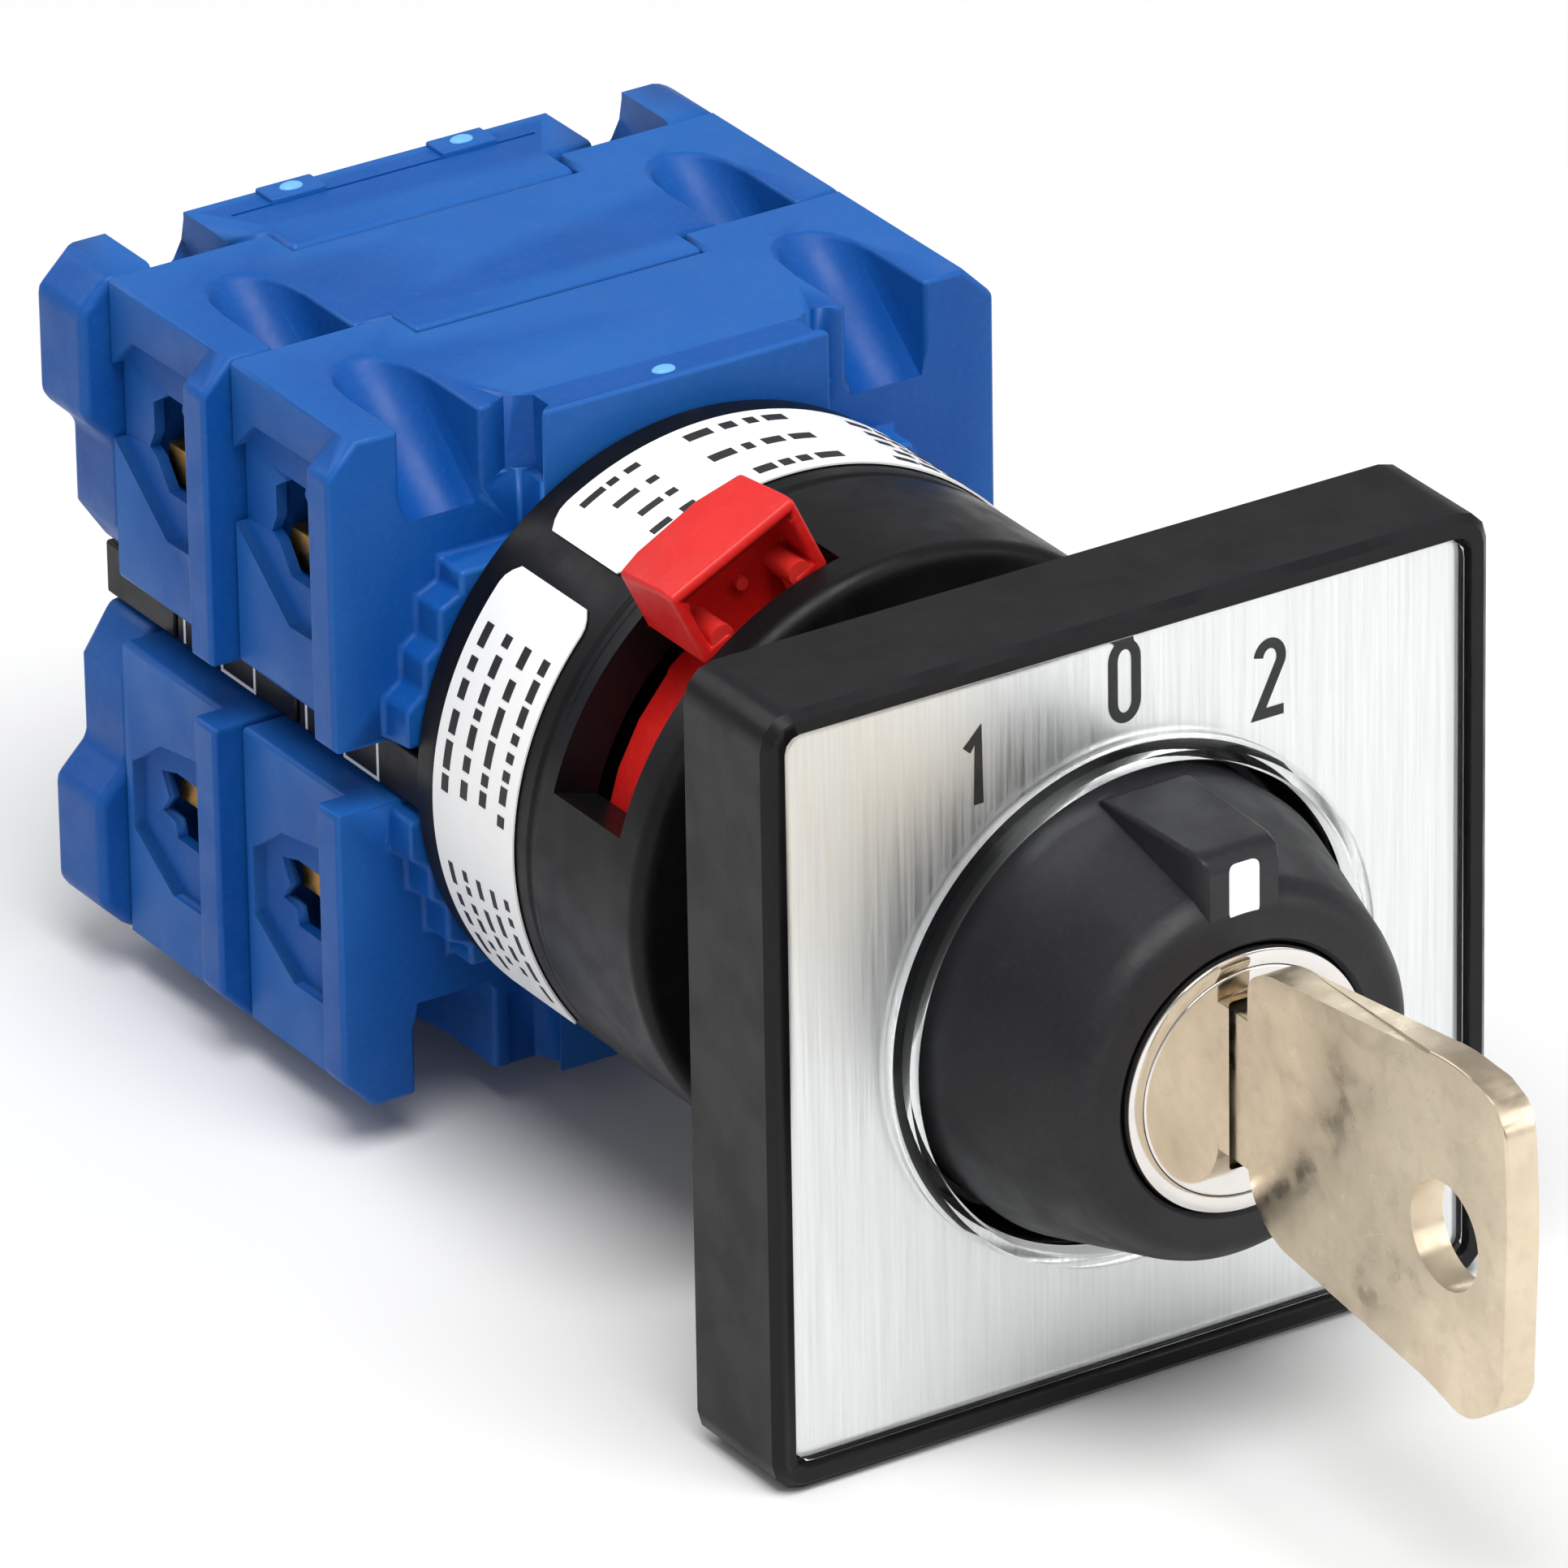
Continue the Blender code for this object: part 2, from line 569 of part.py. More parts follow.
def cut_side_window(block, side, start, way, sign):
    """Recessed window in a stage's side, with an opening through to the terminal's pocket."""
    recess = UPPER_RECESS if sign > 0 else LOWER_RECESS
    opening = UPPER_OPENING if sign > 0 else LOWER_OPENING
    through = SIDE - POCKET_SIDE + GAP
    for name, outline, depth in (("recess", recess, RECESS_DEPTH), ("opening", opening, through)):
        points = [(start + y, z) for y, z in outline]
        low, high = sorted(((SIDE - depth) * way, (RIB_SIDE + OVERRUN) * way))
        cut(block, side + "_" + name, prism(points, "X", low, high))


def cut_terminal_room(block, side, start, way, sign):
    """Pocket for the clamp and its screw, and a gap for the strip that leads inwards."""
    pocket_low = (POCKET_INNER, start + POCKET_START, CORE_TOP - POCKET_OVERLAP)
    pocket_high = (POCKET_SIDE, start + POCKET_END, POCKET_TOP)
    cut(block, side + "_pocket", side_box(pocket_low, pocket_high, way, sign))
    inner, outer = STRIP_ROOM
    gap_low = (inner, start + STRIP_START - STRIP_PLAY, CORE_TOP)
    gap_high = (outer, start + STRIP_START + STRIP_WIDE, SCREW_FOOT)
    cut(block, side + "_strip_room", side_box(gap_low, gap_high, way, sign))


def add_front_lug(block, side, start, way, sign):
    """Stepped lug beside the collar's seat, on the front of the first stage."""
    points = [(x * way, z * sign) for x, z in LUG_OUTLINE]
    add(block, side + "_lug", prism(points, "Y", start, start + STEP + OVERRUN))


def build_half_block(name, start, end, sign, has_contacts):
    """One coloured moulding of a stage, or of the rear cover."""
    far = end + STEP if has_contacts else end
    outline = mirrored(block_outline(has_contacts), sign)
    block = make_object(name, prism(outline, "Y", start, far - GAP), parts, blue)
    wide = RIB_SIDE + OVERRUN
    reach = TOP + OVERRUN
    if has_contacts:
        middle = ((-OUTER_HALF, end - GAP, -OVERRUN), (OUTER_HALF, far + OVERRUN, reach))
        cut(block, "rear_step", half_box(*middle, sign))
    for side, way in SIDES:
        step_low = (OUTER_HALF, start - OVERRUN, -OVERRUN)
        step_high = (wide, start + STEP, reach)
        cut(block, side + "_front_step", side_box(step_low, step_high, way, sign))
        cut(block, side + "_channel", channel(way * CHANNEL_X, start, sign))
        if has_contacts:
            wall_low = (SIDE, start + RIB_END, SPLIT)
            wall_high = (wide, far + OVERRUN, reach)
            cut(block, side + "_wall", side_box(wall_low, wall_high, way, sign))
            cut_side_window(block, side, start, way, sign)
            cut_terminal_room(block, side, start, way, sign)
        if start == FIRST_STAGE:
            add_front_lug(block, side, start, way, sign)
    core_low = (-CORE_HALF - GAP, start - OVERRUN, -OVERRUN)
    core_high = (CORE_HALF + GAP, far + OVERRUN, CORE_TOP + GAP)
    cut(block, "core_room", half_box(core_low, core_high, sign))
    if has_contacts:
        room_low = (-ROOM_HALF, start + ROOM_START, CORE_TOP)
        room_high = (ROOM_HALF, start + ROOM_END, ROOF)
        cut(block, "contact_room", half_box(room_low, room_high, sign))


def build_core(name, start, end, closed):
    """Black middle moulding that carries the shaft and the plungers."""
    side = CORE_SIDE
    half = CORE_HALF
    low = SPLIT - GAP
    upper = [(side, low), (half, low), (half, CORE_TOP), (-half, CORE_TOP), (-half, low), (-side, low)]
    outline = upper + [(-x, -z) for x, z in upper]
    core = make_object(name, prism(outline, "Y", start, end - GAP), parts, black)
    depth = end - CORE_WALL if closed else end + OVERRUN
    cut(core, "bore", turned([(CORE_BORE, start - OVERRUN), (CORE_BORE, depth)]))
    middle = start + CONTACT_MIDDLE
    room = PLUNGER_HALF + GAP
    if not closed:
        reach = CORE_TOP + OVERRUN
        cut(core, "plunger_slot", box((-room, middle - room, -reach), (room, middle + room, reach)))
    for side, way in SIDES:
        foot = (way * BOLT_X, start - OVERRUN, 0.0)
        length = end - start + 2.0 * OVERRUN
        cut(core, side + "_bolt_hole", sloped_cylinder(foot, BACKWARDS, BOLT_RADIUS + GAP, length))


def build_terminal(name, start, way, sign):
    """Brass strip from the fixed contact to a raised clamp."""
    front = start + STRIP_START
    floor = CORE_TOP + GAP
    strip_high = (STRIP_OUTER, front + STRIP_WIDE, floor + STRIP_THICK)
    strip = side_box((STRIP_INNER, front, floor), strip_high, way, sign)
    terminal = make_object(name, strip, parts, brass)
    clamp_low = (CLAMP_INNER, start + CLAMP_START, floor)
    clamp_high = (CLAMP_OUTER, start + CLAMP_END, CLAMP_TOP)
    add(terminal, "clamp", side_box(clamp_low, clamp_high, way, sign))


def build_terminal_screw(name, start, way, sign):
    """Slotted screw head above the middle of the clamp."""
    y = start + (CLAMP_START + CLAMP_END) / 2.0
    foot = Vector((way * CHANNEL_X, y, sign * SCREW_FOOT))
    head = sloped_cylinder(foot, (0.0, 0.0, sign), SCREW_RADIUS, SCREW_LENGTH)
    screw = make_object(name, head, parts, steel)
    top = SCREW_FOOT + SCREW_LENGTH
    half = SCREW_RADIUS + OVERRUN
    slot_low = (CHANNEL_X - half, y - SCREW_SLOT_HALF, top - SCREW_SLOT_DEPTH)
    slot_high = (CHANNEL_X + half, y + SCREW_SLOT_HALF, top + OVERRUN)
    cut(screw, "slot", side_box(slot_low, slot_high, way, sign))


def cam_outline(reverse):
    """Cam edge: radius grows with angle near the plungers and is blended at the sides."""
    lift_per_radian = CAM_LIFT / math.radians(SWITCH_ANGLE)
    points = []
    for index in range(CAM_FACETS):
        angle = 2.0 * math.pi * index / CAM_FACETS
        swing = math.asin(math.sin(angle))
        if abs(swing) > CAM_RAMP:
            beyond = (abs(swing) - CAM_RAMP) / (math.pi / 2.0 - CAM_RAMP)
            swing = math.copysign(CAM_RAMP * (1.0 - CAM_BLEND * beyond), swing)
        radius = CAM_RADIUS + lift_per_radian * swing * (-1.0 if reverse else 1.0)
        points.append((radius * math.sin(angle), radius * math.cos(angle)))
    return points


def build_contacts(stage, start, reverse):
    """Cam and, above and below it, the plunger, bridge and spring of one stage."""
    middle = start + CONTACT_MIDDLE
    disc = prism(cam_outline(reverse), "Y", middle - CAM_HALF_THICK, middle + CAM_HALF_THICK)
    cam = make_object("cam_" + stage, disc, parts, ivory)
    hole = SHAFT_HOLE_HALF
    reach = CAM_HALF_THICK + OVERRUN
    cut(cam, "hole", box((-hole, middle - reach, -hole), (hole, middle + reach, hole)))
    half = PLUNGER_HALF
    foot = CAM_RADIUS + CAM_CLEARANCE
    for level, sign in LEVELS:
        plunger = half_box((-half, middle - half, foot), (half, middle + half, BRIDGE_Z - GAP), sign)
        make_object("plunger_" + stage + "_" + level, plunger, parts, ivory)
        bridge_low = (-BRIDGE_HALF, middle - half, BRIDGE_Z)
        bridge_high = (BRIDGE_HALF, middle + half, BRIDGE_Z + STRIP_THICK)
        bridge = half_box(bridge_low, bridge_high, sign)
        make_object("bridge_" + stage + "_" + level, bridge, parts, brass)
        build_spring("spring_" + stage + "_" + level, middle, sign)


def build_spring(name, middle, sign):
    """Helical spring between a bridge and the roof of its moulding."""
    bottom = BRIDGE_Z + STRIP_THICK + GAP + SPRING_WIRE
    top = ROOF - GAP - SPRING_WIRE
    steps = SPRING_STEPS * SPRING_TURNS
    path = []
    for index in range(steps + 1):
        angle = 2.0 * math.pi * SPRING_TURNS * index / steps
        height = bottom + (top - bottom) * index / steps
        x = SPRING_RADIUS * math.cos(angle)
        y = middle + SPRING_RADIUS * math.sin(angle)
        path.append(Vector((x, y, height * sign)))
    rings = []
    for index, point in enumerate(path):
        before = path[max(index - 1, 0)]
        after = path[min(index + 1, steps)]
        tangent = (after - before).normalized()
        outward = Vector((point.x, point.y - middle, 0.0)).normalized()
        across = tangent.cross(outward).normalized()
        outward = across.cross(tangent).normalized()
        turns = [2.0 * math.pi * side / SPRING_SIDES for side in range(SPRING_SIDES)]
        spokes = [outward * math.cos(turn) + across * math.sin(turn) for turn in turns]
        rings.append([point + spoke * SPRING_WIRE for spoke in spokes])
    make_object(name, loft(rings), parts, steel)


def build_shaft_and_bolts():
    half = SHAFT_HALF
    shaft = box((-half, LOCK_BACK + GAP, -half), (half, BODY_END - 3.0, half))
    make_object("drive_shaft", shaft, parts, steel)
    for side, way in SIDES:
        foot = Vector((way * BOLT_X, COLLAR_FLOOR - GAP, 0.0))
        shank = sloped_cylinder(foot, BACKWARDS, BOLT_RADIUS, BOLT_LENGTH, BOLT_FACETS)
        bolt = make_object("tie_bolt_" + side, shank, parts, steel)
        crown = foot - Vector(BACKWARDS) * BOLT_HEAD
        add(bolt, "head", sloped_cylinder(crown, BACKWARDS, BOLT_HEAD_RADIUS, BOLT_HEAD, BOLT_FACETS))


def build_block():
    stages = (("front", FIRST_STAGE, False), ("rear", FIRST_STAGE + PITCH, True))
    for stage, start, reverse in stages:
        end = start + PITCH
        build_half_block("block_" + stage + "_upper", start, end, 1, True)
        build_half_block("block_" + stage + "_lower", start, end, -1, True)
        build_core("core_" + stage, start, end, False)
        build_contacts(stage, start, reverse)
        for level, sign in LEVELS:
            for side, way in SIDES:
                suffix = stage + "_" + level + "_" + side
                build_terminal("terminal_" + suffix, start, way, sign)
                build_terminal_screw("screw_" + suffix, start, way, sign)
    cover = FIRST_STAGE + 2.0 * PITCH
    build_half_block("rear_cover_upper", cover, BODY_END, 1, False)
    build_half_block("rear_cover_lower", cover, BODY_END, -1, False)
    build_core("rear_plate", cover, BODY_END, True)


# ---------------------------------------------------------------- assembly

clear_scene()
parts = make_collection("selector_key_switch")
tools = make_collection("cutting_tools")

black = make_material("black_plastic", 46, 46, 50, 0.45)
blue = make_material("blue_plastic", 60, 110, 185, 0.4)
red = make_material("red_plastic", 226, 52, 48, 0.4)
white = make_material("white_print", 236, 238, 242, 0.5)
ivory = make_material("ivory_plastic", 222, 214, 190, 0.5)
rubber = make_material("black_rubber", 30, 30, 32, 0.8)
brushed = make_material("brushed_aluminium", 214, 214, 212, 0.35, 1.0)
clear = make_material("clear_plastic", 240, 244, 246, 0.08, 0.0, 0.25)
chrome = make_material("polished_chrome", 225, 222, 218, 0.08, 1.0)
nickel = make_material("nickel_silver", 204, 190, 166, 0.3, 1.0)
steel = make_material("zinc_steel", 190, 192, 196, 0.35, 1.0)
brass = make_material("brass", 205, 160, 80, 0.3, 1.0)

build_bezel()
build_dial()
build_gasket_barrel_and_nut()
build_knob()
build_lock()
build_key()
build_collar()
build_latch()
build_labels()
build_shaft_and_bolts()
build_block()
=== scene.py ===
"""Looks for the key-operated rotary cam switch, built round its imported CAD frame.

Lengths below are in millimetres and become metres in put_piece; +Y runs from the dial back to the contacts.
"""
import math
import random

import bmesh
import bpy
from mathutils import Matrix, Vector


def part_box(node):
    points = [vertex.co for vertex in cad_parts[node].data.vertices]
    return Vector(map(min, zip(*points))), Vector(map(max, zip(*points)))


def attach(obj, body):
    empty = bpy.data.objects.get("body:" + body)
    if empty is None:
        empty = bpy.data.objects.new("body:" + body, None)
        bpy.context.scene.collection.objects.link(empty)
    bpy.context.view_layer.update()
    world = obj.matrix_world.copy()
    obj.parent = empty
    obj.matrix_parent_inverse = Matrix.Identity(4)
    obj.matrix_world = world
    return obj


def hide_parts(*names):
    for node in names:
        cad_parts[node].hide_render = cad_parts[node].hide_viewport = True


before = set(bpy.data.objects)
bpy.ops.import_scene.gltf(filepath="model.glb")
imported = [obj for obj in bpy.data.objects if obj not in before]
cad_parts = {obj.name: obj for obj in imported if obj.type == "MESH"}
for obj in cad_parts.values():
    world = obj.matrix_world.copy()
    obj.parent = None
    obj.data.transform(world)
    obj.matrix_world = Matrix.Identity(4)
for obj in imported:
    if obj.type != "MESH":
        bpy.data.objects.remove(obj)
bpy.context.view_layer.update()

MM = 0.001
random.seed(7)


def edges(node):
    """Lowest and highest corner of a CAD node, in millimetres."""
    low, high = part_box(node)
    return low / MM, high / MM


# Driving sizes, read from the frame
BEZEL_LOW = edges("bezel_frame")[0]
PLATE_LOW, PLATE_HIGH = edges("dial_plate")
WINDOW_LOW, WINDOW_HIGH = edges("clear_window")
KNOB_LOW, KNOB_HIGH = edges("selector_knob")
SLEEVE_LOW, SLEEVE_HIGH = edges("lock_sleeve")
PLUG_HIGH = edges("lock_plug")[1]
KEY_HIGH = edges("key")[1]
COLLAR_LOW, COLLAR_HIGH = edges("collar_housing")
LATCH_LOW, LATCH_HIGH = edges("latch_ring")
BARREL_LOW, BARREL_HIGH = edges("threaded_barrel")
NUT_LOW, NUT_HIGH = edges("ring_nut")
LABEL_LOW, LABEL_HIGH = edges("label_left")
CORE_LOW = edges("core_front")[0]
BLOCK_LOW, BLOCK_HIGH = edges("block_front_upper")
REAR_CORE_LOW = edges("core_rear")[0]
COVER_HIGH = edges("rear_cover_upper")[1]
BACK_HIGH = edges("rear_plate")[1]

# Sizes and angles of details that the frame's boxes don't give
PLATE_BORE = 15.1         # round hole in the dial plate
WINDOW_BORE = 14.8        # inside of the clear ring round the knob
BARREL_BORE = 9.6
NUT_BORE = 11.4
KEY_NECK = -20.9          # where the key's bow meets its blade
KEY_BLADE = 4.7           # half the height of the key's blade
COLLAR_BORE = 15.9
COLLAR_LIP = 12.9         # the collar's front opening
COLLAR_FLOOR = 26.0
LABEL_FACE = 19.05        # radius of a label's outer surface
BOLT_X = 14.5
ROUND = 128               # facets round a large turned piece
FINE = 48                 # facets round a small turned piece
COARSE = 24               # facets round a pin or a gate mark
SKIN = 0.03               # how far print stands off its surface
SHARP = 35.0              # faces that meet at more than this many degrees show an edge
FLAT = 5.0                # faces that meet at less than this many degrees count as one
FLUSH = 1.0               # facets that meet at less than this many degrees are merged
WELD = 0.002              # points closer than this are merged
BEVEL_ROOM = 2.4          # an edge is rounded if its neighbours are longer than this many bevel widths
POSITION_STEP = 30.0      # between two positions of the selector, in degrees
LATCH_TILT = 26.0         # thumb block's middle, in degrees from +Z towards -X
LATCH_TRAVEL = 32.0       # how far the thumb block turns from there
SLOT_MARGIN = 16.0        # from the thumb block's middle to the end of its slot, in degrees
POCKET_BACK = 19.6        # floor of the thumb block's front pocket
SEAT_DEPTH = 0.85         # how far a contact spring's seat reaches past the spring at rest
STAGES = ("front", "rear")
LEVELS = (("upper", 1), ("lower", -1))
SIDES = (("left", -1), ("right", 1))


# ---------------------------------------------------------------- materials

def linear(value):
    """Linear light from an sRGB value of 0 to 255."""
    value /= 255.0
    return value / 12.92 if value <= 0.04045 else ((value + 0.055) / 1.055) ** 2.4


def colour(red, green, blue):
    """Opaque colour from sRGB values of 0 to 255."""
    return (linear(red), linear(green), linear(blue), 1.0)


class Surface:
    """A Principled material and the nodes that give it detail."""

    def __init__(self, name, base, roughness, metallic=0.0):
        """Plain material; its noise will be placed by the piece's own coordinates."""
        self.material = bpy.data.materials.new(name)
        self.material.use_nodes = True
        self.nodes = self.material.node_tree.nodes
        self.links = self.material.node_tree.links
        self.shader = self.nodes["Principled BSDF"]
        self.shader.inputs["Metallic"].default_value = metallic
        self.shader.inputs["Roughness"].default_value = roughness
        self.shader.inputs["Base Color"].default_value = base
        self.base = base
        self.place = self.nodes.new("ShaderNodeTexCoord").outputs["Object"]
        self.height = None

    def noise(self, scale, detail=4.0, stretch=(1.0, 1.0, 1.0)):
        """Noise whose features are about 1/scale of a metre, stretched along an axis if asked."""
        mapping = self.nodes.new("ShaderNodeMapping")
        mapping.inputs["Scale"].default_value = stretch
        self.links.new(self.place, mapping.inputs["Vector"])
        texture = self.nodes.new("ShaderNodeTexNoise")
        texture.inputs["Scale"].default_value = scale
        texture.inputs["Detail"].default_value = detail
        self.links.new(mapping.outputs["Vector"], texture.inputs["Vector"])
        return texture.outputs["Fac"]

    def spread(self, source, low, high, start=0.35, end=0.65):
        """Rescale a noise output to a range."""
        node = self.nodes.new("ShaderNodeMapRange")
        node.inputs["From Min"].default_value = start
        node.inputs["From Max"].default_value = end
        node.inputs["To Min"].default_value = low
        node.inputs["To Max"].default_value = high
        self.links.new(source, node.inputs["Value"])
        return node.outputs["Result"]

    def tint(self, factor, other):
        """Mix the base colour so far with another where factor is high."""
        mix = self.nodes.new("ShaderNodeMix")
        mix.data_type = "RGBA"
        self.links.new(factor, mix.inputs[0])
        current = self.shader.inputs["Base Color"]
        if current.is_linked:
            self.links.new(current.links[0].from_socket, mix.inputs[6])
        else:
            mix.inputs[6].default_value = self.base
        mix.inputs[7].default_value = other
        self.links.new(mix.outputs[2], current)

    def rough(self, source, low, high):
        """Let a noise output vary the roughness."""
        self.links.new(self.spread(source, low, high), self.shader.inputs["Roughness"])

    def bump(self, source, depth):
        """Add relief of that depth in millimetres; later calls stack on earlier ones."""
        node = self.nodes.new("ShaderNodeBump")
        node.inputs["Strength"].default_value = 1.0
        node.inputs["Distance"].default_value = depth * MM
        self.links.new(source, node.inputs["Height"])
        if self.height is not None:
            self.links.new(self.height, node.inputs["Normal"])
        self.height = node.outputs["Normal"]
        self.links.new(self.height, self.shader.inputs["Normal"])

    def worn_edges(self, other, start, amount):
        """Lighter or darker convex edges."""
        point = self.nodes.new("ShaderNodeNewGeometry").outputs["Pointiness"]
        self.tint(self.spread(point, 0.0, amount, start, start + 0.06), other)


def plastic(name, base, darker, lighter, roughness, grain=0.004, grain_size=0.35, shine=0.3):
    """Moulded plastic: fine spark-eroded grain, slow colour drift, rubbed edges."""
    surface = Surface(name, base, roughness)
    surface.shader.inputs["Specular IOR Level"].default_value = shine
    drift = surface.noise(90.0, 3.0)
    surface.tint(surface.spread(drift, 0.0, 0.55), darker)
    specks = surface.noise(2600.0, 2.0)
    surface.tint(surface.spread(specks, 0.0, 0.14, 0.5, 0.75), lighter)
    surface.worn_edges(lighter, 0.53, 0.3)
    surface.rough(surface.noise(320.0), roughness - 0.07, roughness + 0.09)
    surface.bump(surface.noise(1000.0 / grain_size, 3.0), grain)
    surface.bump(surface.noise(70.0, 1.0), grain * 4.0)
    return surface.material


def metal(name, base, stain, roughness, scratch=0.004, stretch=(1.0, 1.0, 1.0), stain_amount=0.5):
    """Bare or plated metal: rolled grain, scratches and stains."""
    surface = Surface(name, base, roughness, 1.0)
    surface.tint(surface.spread(surface.noise(160.0, 6.0), 0.0, stain_amount, 0.42, 0.7), stain)
    surface.tint(surface.spread(surface.noise(900.0, 5.0), 0.0, stain_amount * 0.7, 0.5, 0.75), stain)
    surface.rough(surface.noise(420.0, 6.0, stretch), roughness * 0.7, roughness * 1.5)
    surface.bump(surface.noise(1500.0, 4.0, stretch), scratch)
    return surface.material


MATERIALS = {
    "black": plastic("black_moulding", colour(13, 13, 15), colour(9, 9, 11), colour(34, 34, 38), 0.37,
                     0.006, shine=0.2),
    "knob": plastic("satin_knob", colour(30, 30, 33), colour(23, 23, 25), colour(60, 60, 64), 0.44,
                    0.008, 0.3),
    "blue": plastic("blue_moulding", colour(12, 79, 156), colour(8, 68, 142), colour(46, 112, 186), 0.44,
                    0.006, shine=0.22),
    "gate": plastic("gate_blue", colour(110, 178, 238), colour(84, 150, 220), colour(150, 205, 250), 0.35),
    "red": plastic("red_moulding", colour(212, 26, 24), colour(180, 16, 14), colour(236, 76, 66), 0.4, 0.005),
    "ivory": plastic("ivory_moulding", colour(222, 214, 190), colour(206, 196, 168),
                     colour(240, 235, 220), 0.5),
    "rubber": plastic("gasket_rubber", colour(26, 26, 28), colour(20, 20, 22), colour(54, 54, 56), 0.72,
                      0.01),
    "print": plastic("white_print", colour(238, 240, 246), colour(226, 230, 238), colour(250, 250, 252), 0.4,
                     0.003),
    "paper": plastic("label_film", colour(240, 240, 240), colour(228, 228, 226), colour(250, 250, 250), 0.36,
                     0.004),
    "ink": plastic("black_ink", colour(30, 29, 30), colour(20, 20, 21), colour(66, 64, 64), 0.5, 0.004),
    "key": metal("nickel_silver", colour(226, 210, 184), colour(168, 154, 132), 0.3, stain_amount=0.32),
    "steel": metal("zinc_plated_steel", colour(188, 190, 194), colour(126, 124, 122), 0.28, 0.005),
    "brass": metal("spring_brass", colour(214, 164, 84), colour(150, 102, 48), 0.28, 0.005),
    "chrome": metal("polished_chrome", colour(228, 224, 220), colour(196, 190, 184), 0.07, 0.0004,
                    stain_amount=0.25),
}


def brushed_plate():
    """Aluminium brushed from top to bottom."""
    surface = Surface("brushed_aluminium", colour(250, 249, 247), 0.34, 1.0)
    lines = (1.0, 1.0, 0.02)
    fine = surface.noise(5200.0, 4.0, lines)
    surface.tint(surface.spread(fine, 0.0, 0.3, 0.35, 0.7), colour(214, 212, 209))
    broad = surface.noise(1900.0, 3.0, lines)
    surface.tint(surface.spread(broad, 0.0, 0.3, 0.4, 0.7), colour(255, 254, 252))
    surface.rough(surface.noise(4200.0, 4.0, lines), 0.3, 0.44)
    surface.bump(surface.noise(6000.0, 4.0, lines), 0.002)
    return surface.material


def clear_plastic():
    """Thin clear acrylic with the faintest haze."""
    surface = Surface("clear_acrylic", colour(250, 252, 253), 0.04)
    surface.shader.inputs["Transmission Weight"].default_value = 1.0
    surface.shader.inputs["IOR"].default_value = 1.15
    surface.rough(surface.noise(260.0), 0.02, 0.06)
    return surface.material


MATERIALS["plate"] = brushed_plate()
MATERIALS["clear"] = clear_plastic()


# ---------------------------------------------------------------- shape helpers

def loft(rings, capped=True):
    """Join rings of equal length; without caps the last ring joins the first."""
    shape = bmesh.new()
    loops = [[shape.verts.new(point) for point in ring] for ring in rings]
    pairs = list(zip(loops, loops[1:]))
    if not capped:
        pairs.append((loops[-1], loops[0]))
    for first, second in pairs:
        for index, corner in enumerate(first):
            after = (index + 1) % len(first)
            shape.faces.new((corner, first[after], second[after], second[index]))
    if capped:
        shape.faces.new(loops[0])
        shape.faces.new(reversed(loops[-1]))
    return shape


def circle(radius, y, facets):
    """Points of a circle about the switch axis."""
    angles = [2.0 * math.pi * index / facets for index in range(facets)]
    return [(radius * math.sin(angle), y, radius * math.cos(angle)) for angle in angles]


def turned(profile, facets=ROUND):
    """Solid of revolution about the switch axis from (radius, y) points."""
    return loft([circle(radius, y, facets) for radius, y in profile])


def turned_tube(profile, facets=ROUND):
    """Hollow solid of revolution; the closed profile doesn't touch the axis."""
    return loft([circle(radius, y, facets) for radius, y in profile], capped=False)


def prism(outline, axis, start, end):
    """Extrude an outline along an axis; the outline holds the other two coordinates in order."""
    place = {
        "X": lambda a, b, along: (along, a, b),
        "Y": lambda a, b, along: (a, along, b),
        "Z": lambda a, b, along: (a, b, along),
    }[axis]
    return loft([[place(a, b, along) for a, b in outline] for along in (start, end)])


def box(low, high):
    """Box between two corners."""
    outline = [(low[0], low[2]), (high[0], low[2]), (high[0], high[2]), (low[0], high[2])]
    return prism(outline, "Y", low[1], high[1])


def softened(corners, radius, steps=5):
    """Outline with each corner replaced by an arc-like curve of about that radius."""
    points = []
    count = len(corners)
    for index, corner in enumerate(corners):
        here = Vector(corner)
        before = Vector(corners[index - 1]) - here
        after = Vector(corners[(index + 1) % count]) - here
        reach = min(radius, before.length * 0.48, after.length * 0.48)
        first = here + before.normalized() * reach
        last = here + after.normalized() * reach
        for step in range(steps + 1):
            t = step / steps
            points.append(tuple(first * (1 - t) ** 2 + here * 2 * t * (1 - t) + last * t ** 2))
    return points


def rectangle(low_a, low_b, high_a, high_b):
    """Outline with four corners."""
    return [(low_a, low_b), (high_a, low_b), (high_a, high_b), (low_a, high_b)]


def arc_block(start_angle, end_angle, low, high, front, back, steps=40):
    """Curved block between two angles, measured from +Z towards -X in degrees."""
    angles = [math.radians(start_angle + (end_angle - start_angle) * i / steps) for i in range(steps + 1)]
    outer = [(-high * math.sin(angle), high * math.cos(angle)) for angle in angles]
    inner = [(-low * math.sin(angle), low * math.cos(angle)) for angle in reversed(angles)]
    return prism(outer + inner, "Y", front, back)


def turn_about_axis(shape, angle):
    """Turn a shape about the switch axis, from +Z towards -X, by degrees."""
    bmesh.ops.rotate(shape, verts=shape.verts[:], cent=(0.0, 0.0, 0.0),
                     matrix=Matrix.Rotation(math.radians(-angle), 3, "Y"))
    return shape


